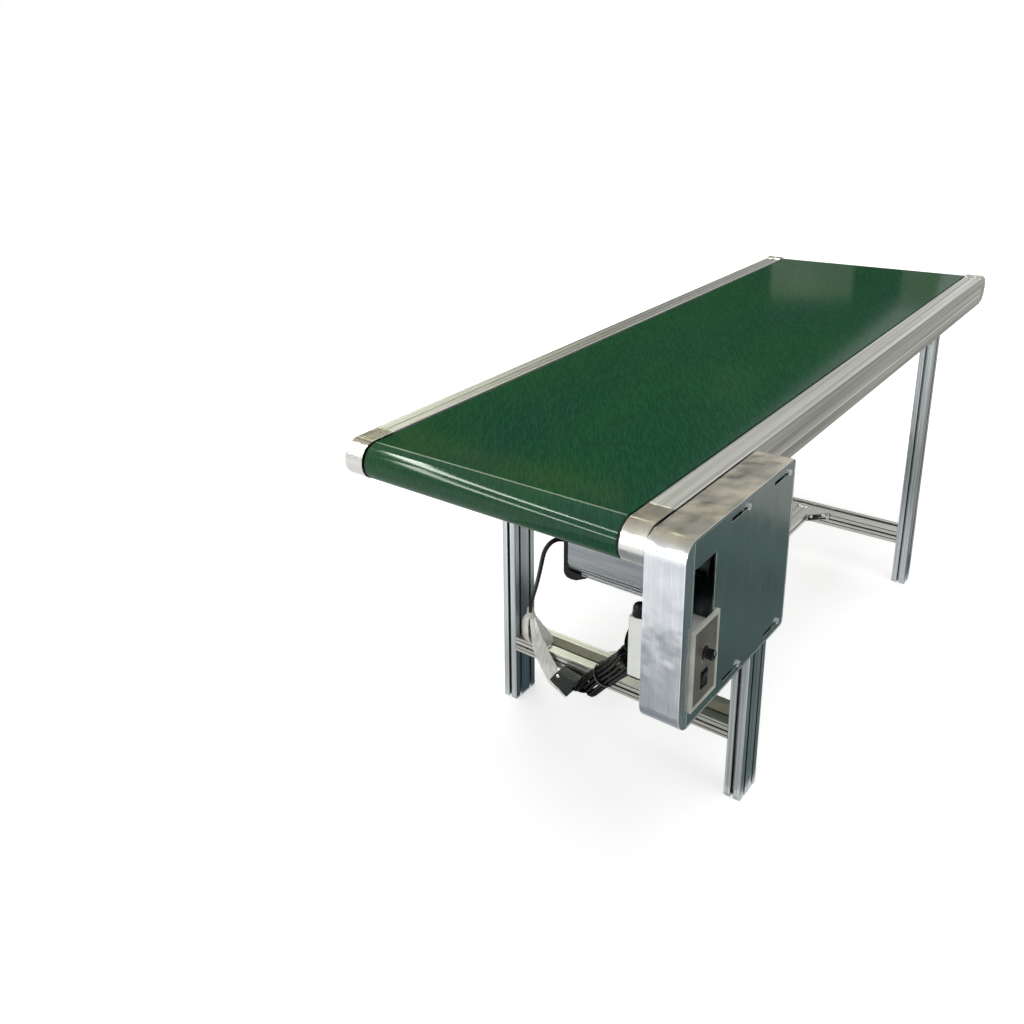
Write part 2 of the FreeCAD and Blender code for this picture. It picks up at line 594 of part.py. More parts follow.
def stretcher_brackets():
    z = STRETCHER_BOTTOM + STRETCHER_HEIGHT / 2.0
    brackets = []
    for x, along in ((NEAR_LEG_BACK, 1.0), (FAR_LEG_FRONT, -1.0)):
        for side in (LEFT, RIGHT):
            bracket = corner_bracket(STRETCHER_BRACKET_SIZE, STRETCHER_BRACKET_WIDTH)
            if along < 0:
                bracket = bracket.mirror(Vector(0, 0, 0), Vector(1, 0, 0))
            if side == RIGHT:
                bracket = bracket.mirror(Vector(0, 0, 0), Vector(0, 1, 0))
            bracket.translate(Vector(x, CENTRE_Y + side * STRETCHER_WIDTH / 2.0, z))
            brackets.append(bracket)
    return Part.makeCompound(brackets)


def leg_brackets(front_x, leg_depth):
    # Angles in the corners between each leg's narrow faces and the rail above.
    brackets = []
    for side in (LEFT, RIGHT):
        y = side_y(side, LEG_INSET + LEG_THICKNESS / 2.0)
        for x, along in ((front_x, -1.0), (front_x + leg_depth, 1.0)):
            bracket = corner_bracket(LEG_BRACKET_SIZE, LEG_BRACKET_WIDTH)
            bracket.rotate(Vector(0, 0, 0), Vector(1, 0, 0), -90.0)
            if along < 0:
                bracket = bracket.mirror(Vector(0, 0, 0), Vector(1, 0, 0))
            bracket.translate(Vector(x, y, RAIL_BOTTOM))
            brackets.append(bracket)
    return Part.makeCompound(brackets)


# ---- Drive housing ----
def screw_places():
    rear = HOUSING_X1 - HOUSING_WALL - SCREW_SLOT_REAR
    places = []
    for z in (HOUSING_Z1 - HOUSING_WALL - SCREW_SLOT_INSET, HOUSING_Z0 + HOUSING_WALL + SCREW_SLOT_INSET):
        places.append((rear, z))
        places.append((rear - SCREW_SLOT_SPACING, z))
    return places


def housing_shell():
    inner_radius = HOUSING_FRONT_RADIUS - HOUSING_WALL
    rear_radius = HOUSING_REAR_RADIUS - HOUSING_WALL
    body = rounded_plate(HOUSING_X0, HOUSING_X1, HOUSING_Z0, HOUSING_Z1,
                         HOUSING_OUT_Y, HOUSING_IN_Y, HOUSING_FRONT_RADIUS, HOUSING_REAR_RADIUS)
    cavity = rounded_plate(HOUSING_X0 + HOUSING_WALL, HOUSING_X1 - HOUSING_WALL,
                           HOUSING_Z0 + HOUSING_WALL, HOUSING_Z1 - HOUSING_WALL,
                           HOUSING_OUT_Y, HOUSING_IN_Y - HOUSING_WALL, inner_radius, rear_radius)
    flange_x = HOUSING_X0 + HOUSING_FLANGE
    flange = box(HOUSING_X0, flange_x, HOUSING_OUT_Y, PLATE_IN_Y, HOUSING_Z0, HOUSING_Z1)
    flange = flange.common(body)
    tabs = []
    for x, z in screw_places():
        upper = z > (HOUSING_Z0 + HOUSING_Z1) / 2.0
        z0 = z - SCREW_HEAD_RADIUS if upper else HOUSING_Z0 + HOUSING_WALL / 2.0
        z1 = HOUSING_Z1 - HOUSING_WALL / 2.0 if upper else z + SCREW_HEAD_RADIUS
        tabs.append(box(x - TAB_WIDTH, x, PLATE_IN_Y, PLATE_IN_Y + HOUSING_WALL, z0, z1))
    shell = fuse_all([body.cut(cavity), flange] + tabs)
    holes = [
        box(CONTROLLER_X0 - CONTROLLER_FIT, CONTROLLER_X1 + CONTROLLER_FIT,
            HOUSING_IN_Y - HOUSING_WALL, HOUSING_IN_Y,
            CONTROLLER_Z0 - CONTROLLER_FIT, CONTROLLER_Z1 + CONTROLLER_FIT),
        cylinder_y(DRIVE_AXIS_X, ROLLER_AXIS_Z, HOUSING_IN_Y - HOUSING_WALL, HOUSING_IN_Y,
                   JOURNAL_RADIUS + SHAFT_HOLE_GAP),
        cylinder_y(MOTOR_AXIS_X, SHAFT_Z, HOUSING_IN_Y - HOUSING_WALL, HOUSING_IN_Y,
                   SHAFT_RADIUS + SHAFT_HOLE_GAP),
    ]
    for x, z in screw_places():
        holes.append(cylinder_y(x - SCREW_HEAD_RADIUS, z, PLATE_IN_Y, PLATE_IN_Y + HOUSING_WALL,
                                SCREW_RADIUS))
    return cut_all(shell, holes)


def housing_cover():
    x0 = HOUSING_X0 + HOUSING_FLANGE + PLATE_FIT
    x1 = HOUSING_X1 - HOUSING_WALL - PLATE_FIT
    z0 = HOUSING_Z0 + HOUSING_WALL + PLATE_FIT
    z1 = HOUSING_Z1 - HOUSING_WALL - PLATE_FIT
    plate = box(x0, x1, HOUSING_OUT_Y, PLATE_IN_Y, z0, z1)
    clear = rounded_plate(HOUSING_X0 + HOUSING_WALL + PLATE_FIT, x1, z0, z1, HOUSING_OUT_Y, PLATE_IN_Y,
                          HOUSING_FRONT_RADIUS - HOUSING_WALL - PLATE_FIT,
                          HOUSING_REAR_RADIUS - HOUSING_WALL - PLATE_FIT)
    plate = plate.common(clear)
    tools = [
        box(WINDOW_X0, WINDOW_X0 + WINDOW_WIDTH, HOUSING_OUT_Y, PLATE_IN_Y,
            WINDOW_Z1 - WINDOW_HEIGHT, WINDOW_Z1),
        box(CONTROLLER_X0 - CONTROLLER_FIT, CONTROLLER_X1 + CONTROLLER_FIT,
            HOUSING_OUT_Y, PLATE_IN_Y,
            CONTROLLER_Z0 - CONTROLLER_FIT, CONTROLLER_Z1 + CONTROLLER_FIT),
    ]
    for x, z in screw_places():
        tools.append(box(x - SCREW_SLOT_LENGTH, x, HOUSING_OUT_Y, PLATE_IN_Y,
                         z - SCREW_SLOT_HEIGHT / 2.0, z + SCREW_SLOT_HEIGHT / 2.0))
    return cut_all(plate, tools)


def housing_screws():
    screws = []
    for x, z in screw_places():
        head = cylinder_y(x - SCREW_HEAD_RADIUS, z, HOUSING_OUT_Y - SCREW_HEAD_HEIGHT, HOUSING_OUT_Y,
                          SCREW_HEAD_RADIUS)
        shank = cylinder_y(x - SCREW_HEAD_RADIUS, z, HOUSING_OUT_Y, PLATE_IN_Y + HOUSING_WALL, SCREW_RADIUS)
        screws.append(fuse_all([head, shank]))
    return Part.makeCompound(screws)


def housing_spacers():
    y0 = HOUSING_IN_Y
    y1 = RAIL_OUTER_Y
    z0 = RAIL_BOTTOM + SPACER_RADIUS
    x0 = DRIVE_NOSE_X + DRIVE_COVER_LENGTH + SPACER_FROM_COVER + SPACER_RADIUS
    x1 = HOUSING_X1 - SPACER_FROM_REAR - SPACER_RADIUS
    spacers = []
    for x in (x0, (x0 + x1) / 2.0, x1):
        spacers.append(cylinder_y(x, z0, y0, y1, SPACER_RADIUS))
    return Part.makeCompound(spacers)


# ---- Speed controller ----
def controller_bezel():
    y0 = HOUSING_OUT_Y - BEZEL_THICKNESS
    frame = box(BEZEL_X0, BEZEL_X0 + BEZEL_WIDTH, y0, HOUSING_OUT_Y, BEZEL_Z0, BEZEL_Z0 + BEZEL_HEIGHT)
    recess = box(BEZEL_X0 + BEZEL_BORDER, BEZEL_X0 + BEZEL_WIDTH - BEZEL_BORDER,
                 y0, y0 + BEZEL_RECESS,
                 BEZEL_Z0 + BEZEL_BORDER, BEZEL_Z0 + BEZEL_HEIGHT - BEZEL_BORDER)
    return frame.cut(recess)


def controller_body():
    return box(CONTROLLER_X0, CONTROLLER_X1, HOUSING_OUT_Y, CONTROLLER_BACK_Y,
               CONTROLLER_Z0, CONTROLLER_Z1)


def controller_knob():
    seat = HOUSING_OUT_Y - BEZEL_THICKNESS + BEZEL_RECESS
    return cylinder_y(BEZEL_CX, BEZEL_CZ + KNOB_ABOVE_CENTRE, seat - KNOB_LENGTH, seat, KNOB_RADIUS)


def controller_rocker():
    seat = HOUSING_OUT_Y - BEZEL_THICKNESS + BEZEL_RECESS
    z = BEZEL_CZ - ROCKER_BELOW_CENTRE
    return box(BEZEL_CX - ROCKER_WIDTH / 2.0, BEZEL_CX + ROCKER_WIDTH / 2.0,
               seat - ROCKER_PROUD, seat, z - ROCKER_HEIGHT / 2.0, z + ROCKER_HEIGHT / 2.0)


def controller_gland():
    x = CONTROLLER_X0 + GLAND_FROM_FRONT
    y = CONTROLLER_BACK_Y - GLAND_FROM_BACK
    base = Part.makeCylinder(GLAND_RADIUS + GLAND_BASE_EDGE, GLAND_BASE_HEIGHT,
                             Vector(x, y, CONTROLLER_Z1))
    straight = GLAND_CAP_HEIGHT - GLAND_RADIUS
    stem = Part.makeCylinder(GLAND_RADIUS, straight, Vector(x, y, CONTROLLER_Z1 + GLAND_BASE_HEIGHT))
    dome = Part.makeSphere(GLAND_RADIUS, Vector(x, y, CONTROLLER_Z1 + GLAND_BASE_HEIGHT + straight))
    return fuse_all([base, stem, dome])


# ---- Gear motor ----
def motor_section(y0, y1, half, corner, z_drop):
    body = box(MOTOR_AXIS_X - half, MOTOR_AXIS_X + half, y0, y1,
               MOTOR_AXIS_Z - half - z_drop, MOTOR_AXIS_Z + half)
    edges = [edge for edge in body.Edges if is_across(edge)]
    return body.makeFillet(corner, edges)


def motor_body():
    half = MOTOR_SIZE / 2.0
    body = motor_section(GEARBOX_Y1, MOTOR_END_Y, half, MOTOR_CORNER, 0.0)
    tools = []
    for z in (MOTOR_AXIS_Z - half + MOTOR_CORNER, MOTOR_AXIS_Z + half - MOTOR_CORNER):
        for x, inward in ((MOTOR_AXIS_X - half, 1.0), (MOTOR_AXIS_X + half, -1.0)):
            deep = x + inward * MOTOR_GROOVE_DEPTH
            tools.append(box(min(x, deep), max(x, deep), GEARBOX_Y1, MOTOR_END_Y,
                             z - MOTOR_GROOVE_WIDTH / 2.0, z + MOTOR_GROOVE_WIDTH / 2.0))
    return cut_all(body, tools)


def motor_cap():
    # End plate that reaches below the motor, with a terminal box in front of its lower edge.
    half = MOTOR_SIZE / 2.0
    plate = motor_section(MOTOR_END_Y, CAP_END_Y, half, MOTOR_CORNER, MOTOR_CAP_DROP)
    front = CAP_END_Y - TERMINAL_LENGTH
    high = MOTOR_AXIS_Z - half
    terminal = box(MOTOR_AXIS_X - TERMINAL_WIDTH / 2.0, MOTOR_AXIS_X + TERMINAL_WIDTH / 2.0,
                   front, MOTOR_END_Y, high - MOTOR_CAP_DROP, high)
    rounded = [edge for edge in terminal.Edges
               if abs(edge.BoundBox.YMax - front) < 0.001 and edge.BoundBox.ZMin < high - 0.001]
    return fuse_all([plate, terminal.makeFillet(TERMINAL_CORNER, rounded)])


def gearbox():
    body = motor_section(HOUSING_IN_Y, GEARBOX_Y1, MOTOR_SIZE / 2.0, MOTOR_CORNER, 0.0)
    bore = cylinder_y(MOTOR_AXIS_X, SHAFT_Z, HOUSING_IN_Y, GEARBOX_Y1 - GEARBOX_END_WALL,
                      SHAFT_RADIUS + RUNNING_FIT)
    return body.cut(bore)


# ---- Leads between the motor, the crossbar and the controller ----
MOTOR_LEAD_EXIT = Vector(MOTOR_AXIS_X, CAP_END_Y + LEAD_GLAND_LENGTH,
                         MOTOR_AXIS_Z - LEAD_EXIT_BELOW_AXIS)
MOTOR_LEAD_ROUTE = [
    MOTOR_LEAD_EXIT,
    MOTOR_LEAD_EXIT + Vector(0, 22, 0),
    Vector(-768, 4, 603),
    Vector(-758, 21, 587),
    Vector(-738, 41, 558),
    Vector(-706, 66, 514),
    Vector(-660, 101, 455),
    Vector(-603, 146, 386),
    Vector(-539, 200, 308),
    Vector(-475, 249, 230),
]
HANK_ROUTE = [
    Vector(-509, 119, 114),
    Vector(-512, 97, 117),
    Vector(-517, 76, 142),
    Vector(-542, 38, 192),
    Vector(-582, -10, 252),
    Vector(-636, -66, 320),
    Vector(-688, -105, 377),
    Vector(-716, -126, 408),
]
CONTROLLER_LEAD_EXIT = Vector(CONTROLLER_X1 + CONTROLLER_GLAND_LENGTH,
                              CONTROLLER_BACK_Y - CONTROLLER_LEAD_BACK,
                              CONTROLLER_Z1 - CONTROLLER_LEAD_TOP)
CONTROLLER_LEAD_ROUTE = [
    CONTROLLER_LEAD_EXIT,
    CONTROLLER_LEAD_EXIT + Vector(18, 0, 0),
    Vector(-780, -218, 566),
    Vector(-769, -204, 557),
    Vector(-765, -187, 543),
    Vector(-764, -170, 525),
    Vector(-765, -154, 504),
    Vector(-766, -142, 479),
    Vector(-763, -136, 453),
    Vector(-750, -133, 432),
]
SLEEVE_OUTLINE = [
    (278, 159), (279, 193), (264, 214), (252, 224), (240, 220), (224, 190), (206, 159),
]
FLAP_OUTLINE = [
    (274, 146), (279, 193), (264, 214), (252, 224), (240, 220), (214, 192), (198, 170),
    (183, 146), (166, 131), (176, 106), (146, 78), (200, 103), (233, 147),
]
CONNECTOR_OUTLINE = [(172, 117), (155, 142), (108, 137), (131, 92)]


def toward(start, end, distance):
    step = end - start
    return start + step * (distance / step.Length)


def cord_tube(name, route, radius):
    # Straight runs joined by tangent arcs, each as large as its two runs allow.
    edges = []
    radii = []
    start = route[0]
    for before, corner, after in zip(route, route[1:], route[2:]):
        half_turn = (corner - before).getAngle(after - corner) / 2.0
        cut = 0.45 * min((corner - before).Length, (after - corner).Length)
        bend = cut / math.tan(half_turn)
        entry = toward(corner, before, cut)
        leave = toward(corner, after, cut)
        inward = (entry + leave) * 0.5 - corner
        middle = toward(corner, corner + inward, bend / math.cos(half_turn) - bend)
        edges.append(Part.LineSegment(start, entry).toShape())
        edges.append(Part.Arc(entry, middle, leave).toShape())
        radii.append(round(bend))
        start = leave
    edges.append(Part.LineSegment(start, route[-1]).toShape())
    path = Part.Wire(edges)
    section = Part.Wire([Part.makeCircle(radius, route[0], route[1] - route[0])])
    tube = path.makePipeShell([section], True, False)
    ratio = tube.Volume / (math.pi * radius * radius * path.Length)
    print(name, "length", round(path.Length), "radii", radii, "volume ratio", round(ratio, 4))
    return tube


def flat_end(shape, centre, outward, size):
    # Cuts the shape off square at the plane through centre that faces outward.
    block = Part.makeBox(size, size, size, Vector(-size / 2.0, -size / 2.0, 0.0))
    turn = FreeCAD.Placement(centre, FreeCAD.Rotation(Vector(0, 0, 1), outward))
    return shape.cut(block.transformed(turn.toMatrix()))


def motor_lead():
    return cord_tube("motor_lead", MOTOR_LEAD_ROUTE, MOTOR_LEAD_RADIUS)


def motor_lead_gland():
    base = MOTOR_LEAD_EXIT - Vector(0, LEAD_GLAND_LENGTH, 0)
    return Part.makeCone(LEAD_GLAND_RADIUS, LEAD_GLAND_TIP, LEAD_GLAND_LENGTH, base, Vector(0, 1, 0))


def controller_lead_gland():
    base = CONTROLLER_LEAD_EXIT - Vector(CONTROLLER_GLAND_LENGTH, 0, 0)
    return Part.makeCone(CONTROLLER_GLAND_RADIUS, CONTROLLER_GLAND_TIP, CONTROLLER_GLAND_LENGTH,
                         base, Vector(1, 0, 0))


def hank_top():
    # Where the controller's lead meets the hank, square to the lead's last run.
    return toward(HANK_ROUTE[-1], CONTROLLER_LEAD_ROUTE[-1], HANK_END)


def controller_lead():
    return cord_tube("controller_lead", CONTROLLER_LEAD_ROUTE + [hank_top()], CONTROLLER_LEAD_RADIUS)


def yz_prism(outline, x0, x1):
    return prism([Vector(x0, y, z) for y, z in outline], Vector(x1 - x0, 0, 0))


def lead_sleeve():
    # Gathered sleeve: it stands on the crossbar, with its neck round the lead and a flap in front.
    neck_top = MOTOR_LEAD_ROUTE[-1]
    neck = Part.makeCylinder(SLEEVE_NECK_RADIUS, SLEEVE_NECK_LENGTH, neck_top,
                             neck_top - MOTOR_LEAD_ROUTE[-2])
    front = NEAR_LEG_FRONT - SLEEVE_FLAP
    body = yz_prism(SLEEVE_OUTLINE, front, front + SLEEVE_DEPTH)
    return fuse_all([body, yz_prism(FLAP_OUTLINE, front, NEAR_LEG_FRONT), neck])


def lead_connector():
    back = NEAR_LEG_FRONT - SLEEVE_FLAP
    return yz_prism(CONNECTOR_OUTLINE, back - CONNECTOR_THICKNESS, back)


def lead_hank():
    # Folded lead: one thick body along its own route, square at the connector and at the lead.
    pieces = [Part.makeSphere(HANK_RADIUS, point) for point in HANK_ROUTE]
    for start, end in zip(HANK_ROUTE, HANK_ROUTE[1:]):
        pieces.append(Part.makeCylinder(HANK_RADIUS, (end - start).Length, start, end - start))
    body = fuse_all(pieces)
    low_y, low_z = CONNECTOR_OUTLINE[3]
    high_y, high_z = CONNECTOR_OUTLINE[2]
    seat = Vector(HANK_ROUTE[0].x, (low_y + high_y) / 2.0, (low_z + high_z) / 2.0)
    outward = Vector(0, high_z - low_z, low_y - high_y)
    body = flat_end(body, seat, outward, 4.0 * HANK_RADIUS)
    top = hank_top()
    return flat_end(body, top, top - HANK_ROUTE[-1], 4.0 * HANK_RADIUS)


def lead_tie():
    start = HANK_ROUTE[3]
    end = HANK_ROUTE[4]
    low = (start + end) * 0.5
    inner = HANK_RADIUS + TIE_GAP
    ring = Part.makeCylinder(inner + TIE_THICKNESS, TIE_WIDTH, low, end - start)
    return ring.cut(Part.makeCylinder(inner, TIE_WIDTH, low, end - start))


# ---- All nodes ----
NODES = {
    "rail_left": rail(LEFT),
    "rail_right": rail(RIGHT),
    "drive_cover_left": end_cover(LEFT, DRIVE_NOSE_X, DRIVE_COVER_LENGTH, DRIVE_AXIS_X, False),
    "drive_cover_right": end_cover(RIGHT, DRIVE_NOSE_X, DRIVE_COVER_LENGTH, DRIVE_AXIS_X, True),
    "tail_cover_left": tail_cover(LEFT),
    "tail_cover_right": tail_cover(RIGHT),
    "conveyor_belt": belt(),
    "slider_bed": slider_bed(),
    "bed_ribs": bed_ribs(),
    "drive_roller": drive_roller(),
    "tail_roller": tail_roller(),
    "drive_pulley": pulley(DRIVE_AXIS_X, ROLLER_AXIS_Z, DRIVE_PULLEY_RADIUS, JOURNAL_RADIUS),
    "motor_pulley": motor_pulley(),
    "timing_belt": timing_belt(),
    "leg_near_left": near_leg(LEFT),
    "leg_near_right": near_leg(RIGHT),
    "leg_far_left": far_leg(LEFT),
    "leg_far_right": far_leg(RIGHT),
    "crossbar_near": near_crossbar(),
    "crossbar_far": far_crossbar(),
    "stretcher": stretcher(),
    "stretcher_brackets": stretcher_brackets(),
    "leg_brackets_near": leg_brackets(NEAR_LEG_FRONT, NEAR_LEG_DEPTH),
    "leg_brackets_far": leg_brackets(FAR_LEG_FRONT, FAR_LEG_DEPTH),
    "housing_shell": housing_shell(),
    "housing_cover": housing_cover(),
    "housing_screws": housing_screws(),
    "housing_spacers": housing_spacers(),
    "controller_bezel": controller_bezel(),
    "controller_body": controller_body(),
    "controller_knob": controller_knob(),
    "controller_rocker": controller_rocker(),
    "controller_gland": controller_gland(),
    "motor_body": motor_body(),
    "motor_cap": motor_cap(),
    "gearbox": gearbox(),
    "motor_lead": motor_lead(),
    "motor_lead_gland": motor_lead_gland(),
    "controller_lead_gland": controller_lead_gland(),
    "controller_lead": controller_lead(),
    "lead_sleeve": lead_sleeve(),
    "lead_connector": lead_connector(),
    "lead_hank": lead_hank(),
    "lead_tie": lead_tie(),
}

for name, shape in NODES.items():
    span = shape.BoundBox
    shape.exportStep("parts/" + name + ".step")
    print(name, shape.isValid(), len(shape.Solids), "volume", round(shape.Volume / 1000.0, 1), "cm3",
          [round(value, 1) for value in (span.XMin, span.XMax, span.YMin, span.YMax, span.ZMin, span.ZMax)])
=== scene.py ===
# %% [markdown]
# A table-height belt conveyor on bare aluminium legs. Its solids come in ready made and
# stay where they are. This lesson gives them their finishes, hangs the leads between the
# motor and the speed controller, and adds the small trim that makes it look real.

# %% Load the machine
import math

import bmesh
import bpy
from mathutils import Matrix, Vector, noise


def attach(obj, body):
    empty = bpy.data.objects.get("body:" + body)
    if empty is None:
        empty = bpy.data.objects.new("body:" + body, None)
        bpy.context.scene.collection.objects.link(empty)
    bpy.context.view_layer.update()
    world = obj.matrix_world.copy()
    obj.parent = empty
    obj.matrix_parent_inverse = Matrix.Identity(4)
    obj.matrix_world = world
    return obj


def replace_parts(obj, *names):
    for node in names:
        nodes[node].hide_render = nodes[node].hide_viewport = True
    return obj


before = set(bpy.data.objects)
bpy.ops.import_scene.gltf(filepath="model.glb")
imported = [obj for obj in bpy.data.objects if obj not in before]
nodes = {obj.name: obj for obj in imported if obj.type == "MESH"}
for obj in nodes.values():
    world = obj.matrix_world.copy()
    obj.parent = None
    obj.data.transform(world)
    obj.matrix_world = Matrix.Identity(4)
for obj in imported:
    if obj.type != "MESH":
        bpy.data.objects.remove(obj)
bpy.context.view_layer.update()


# %% [markdown]
# The lens is a little wider than a normal one and is held at chest height beyond the
# drive end, so the near corner looms and the far legs shrink. A camera is placed by three
# unit vectors: right, up and back. The slight roll is the tilt of a hand-held camera.

# %% Camera
def place_camera(place, heading, dip, roll, lens, shift):
    heading, dip, roll = (math.radians(angle) for angle in (heading, dip, roll))
    ahead = Vector((math.cos(heading) * math.cos(dip), math.sin(heading) * math.cos(dip), -math.sin(dip)))
    right = Vector((math.sin(heading), -math.cos(heading), 0.0))
    up = right.cross(ahead)
    level = Matrix((right, up, -ahead)).transposed()
    camera = bpy.data.objects.new("camera", bpy.data.cameras.new("camera"))
    bpy.context.scene.collection.objects.link(camera)
    camera.matrix_world = Matrix.Translation(place) @ (level @ Matrix.Rotation(roll, 3, "Z")).to_4x4()
    camera.data.sensor_width = 36.0
    camera.data.lens = lens
    camera.data.shift_x, camera.data.shift_y = shift
    bpy.context.scene.camera = camera
    return camera


camera = place_camera(place=(-2.0059, -0.8142, 1.3665), heading=42.41, dip=18.62, roll=-2.85,
                      lens=34.74, shift=(0.106, -0.119))
print("camera at", tuple(camera.location))


# %% [markdown]
# Colours are written as a web page writes them, in sRGB hex, and Blender wants them
# linear. One function turns the one into the other. Another adds a shader node, with its
# settings and its links, so that each finish below reads as a short list of nodes.

# %% Colours and shader nodes
MM = 0.001


def linear(code):
    parts = [int(code[place:place + 2], 16) / 255.0 for place in (1, 3, 5)]
    parts = [part / 12.92 if part <= 0.04045 else ((part + 0.055) / 1.055) ** 2.4 for part in parts]
    return (*parts, 1.0)


def add(tree, kind, inputs=None, **settings):
    node = tree.nodes.new(kind)
    for name, value in settings.items():
        setattr(node, name, value)
    for socket, value in (inputs or {}).items():
        if isinstance(value, bpy.types.NodeSocket):
            tree.links.new(value, node.inputs[socket])
        else:
            node.inputs[socket].default_value = value
    return node


def finish_of(name, colour, roughness, metallic=0.0, **sockets):
    material = bpy.data.materials.new(name)
    material.use_nodes = True
    tree = material.node_tree
    tree.nodes.clear()
    surface = add(tree, "ShaderNodeBsdfPrincipled", {
        "Base Color": linear(colour), "Roughness": roughness, "Metallic": metallic, **sockets})
    add(tree, "ShaderNodeOutputMaterial", {"Surface": surface.outputs["BSDF"]})
    material.diffuse_color = linear(colour)
    return material, tree, surface


print("mid grey is", round(linear("#808080")[0], 3), "in linear light")


# %% [markdown]
# A die, a brush or a mould leaves marks of a known size. One noise serves them all: it is
# stretched until its grains are as long and as wide as the marks, and then it drives the
# colour, the gloss and the relief of a finish. Sizes are in millimetres. Most real marks
# are too fine to show on a whole machine, so they are drawn wider.

# %% Patterns in colour, gloss and relief
def grain(tree, across, along, axis, detail=2.0):
    # Noise drawn out along one axis: across and along are the marks' sizes.
    sizes = [1.0 / (across * MM)] * 3
    if axis in "xyz":
        sizes["xyz".index(axis)] = 1.0 / (along * MM)
    place = add(tree, "ShaderNodeTexCoord").outputs["Object"]
    spread = add(tree, "ShaderNodeMapping", {"Vector": place, "Scale": sizes})
    pattern = add(tree, "ShaderNodeTexNoise", {
        "Vector": spread.outputs["Vector"], "Scale": 1.0, "Detail": detail})
    return pattern.outputs["Fac"]


def two_shades(tree, pattern, low, high, start, end):
    ramp = add(tree, "ShaderNodeValToRGB", {"Fac": pattern})
    for element, place, colour in zip(ramp.color_ramp.elements, (start, end), (low, high)):
        element.position = place
        element.color = linear(colour)
    return ramp.outputs["Color"]


def shades(tree, surface, pattern, low, high, start=0.35, end=0.65):
    tree.links.new(two_shades(tree, pattern, low, high, start, end), surface.inputs["Base Color"])


def sheen_range(tree, surface, pattern, low, high):
    spread = add(tree, "ShaderNodeMapRange", {
        "Value": pattern, "From Min": 0.3, "From Max": 0.7, "To Min": low, "To Max": high})
    tree.links.new(spread.outputs["Result"], surface.inputs["Roughness"])


def relief(tree, surface, pattern, depth, strength, round_edge=0.0):
    # Bump of a real depth, over an edge rounded by round_edge.
    inputs = {"Height": pattern, "Distance": depth * MM, "Strength": strength}
    if round_edge:
        rounded = add(tree, "ShaderNodeBevel", {"Radius": round_edge * MM}, samples=4)
        inputs["Normal"] = rounded.outputs["Normal"]
    bump = add(tree, "ShaderNodeBump", inputs)
    tree.links.new(bump.outputs["Normal"], surface.inputs["Normal"])


print("patterns ready")


# %% [markdown]
# Three marks paint light into the colour: painted shade in the corners, a painted highlight
# on the edges, and a warm painted reflection on what faces up. Each is a share from 0 to 1,
# by which one colour covers another, so a finish can take any of them on top of its pattern.

# %% Painted shade, highlight and reflection
def over_colour(tree, surface, share, colour):
    # The colour that covers is a hex code, or the colour that another node gives.
    base = surface.inputs["Base Color"]
    under = base.links[0].from_socket if base.links else tuple(base.default_value)
    over = linear(colour) if isinstance(colour, str) else colour
    mixed = add(tree, "ShaderNodeMixRGB", {"Fac": share, "Color1": under, "Color2": over})
    tree.links.new(mixed.outputs["Color"], base)


def painted_crevice_shade(tree, surface, reach, colour, most=0.9):
    # Painted shade: a surface hemmed in within reach is darkened towards the colour.
    open_to = add(tree, "ShaderNodeAmbientOcclusion", {"Distance": reach * MM}, samples=6, only_local=True)
    share = add(tree, "ShaderNodeMapRange", {
        "Value": open_to.outputs["AO"], "From Min": 0.25, "From Max": 0.8, "To Min": most, "To Max": 0.0})
    over_colour(tree, surface, share.outputs["Result"], colour)


def painted_edge_highlight(tree, surface, radius, colour, most):
    # Painted highlight on edges: it shows where a rounded normal leaves the flat one.
    rounded = add(tree, "ShaderNodeBevel", {"Radius": radius * MM}, samples=4)
    flat = add(tree, "ShaderNodeNewGeometry")
    same = add(tree, "ShaderNodeVectorMath", {0: rounded.outputs["Normal"], 1: flat.outputs["Normal"]},
               operation="DOT_PRODUCT")
    share = add(tree, "ShaderNodeMapRange", {
        "Value": same.outputs["Value"], "From Min": 0.99, "From Max": 0.8, "To Min": 0.0, "To Max": most})
    over_colour(tree, surface, share.outputs["Result"], colour)


def painted_top_reflection(tree, surface, low, high, patch, most):
    # Painted warm reflection on what faces up, in clouds about one patch wide.
    facing = add(tree, "ShaderNodeNewGeometry").outputs["Normal"]
    upward = add(tree, "ShaderNodeSeparateXYZ", {0: facing})
    share = add(tree, "ShaderNodeMapRange", {
        "Value": upward.outputs["Z"], "From Min": 0.45, "From Max": 0.95, "To Min": 0.0, "To Max": most})
    clouds = two_shades(tree, grain(tree, patch, patch, "none", 3.0), low, high, 0.38, 0.62)
    over_colour(tree, surface, share.outputs["Result"], clouds)


print("wear ready")


# %% [markdown]
# The rails, legs and beams are extruded aluminium, anodised in its natural colour. The
# die leaves faint lines along the length, and anodising turns the metal satin. The lines
# are noise drawn out more than a hundred times along the extrusion, and a few times wider
# than real ones. Legs and crossbars show them in colour and relief, and what runs
# lengthwise in colour alone.

# %% Anodised aluminium
def anodised_aluminium(axis, low="#a3a29c", high="#cac9c4"):
    material, tree, surface = finish_of("anodised_aluminium_" + axis, high, 0.32, 1.0)
    if axis == "x":
        # The rails' tops are seen almost edge-on, so their lines are drawn wider still.
        shades(tree, surface, grain(tree, 7.0, 900.0, axis, 1.0), low, high)
        return material
    lines = grain(tree, 2.2, 900.0, axis)
    shades(tree, surface, lines, low, high)
    # Painted shade: the colour darkens to near black where the surface is hemmed in.
    painted_crevice_shade(tree, surface, 9.0, "#1d2021")
    sheen_range(tree, surface, grain(tree, 40.0, 160.0, axis), 0.26, 0.38)
    relief(tree, surface, lines, 0.02, 0.5)
    return material


print("anodised aluminium ready")
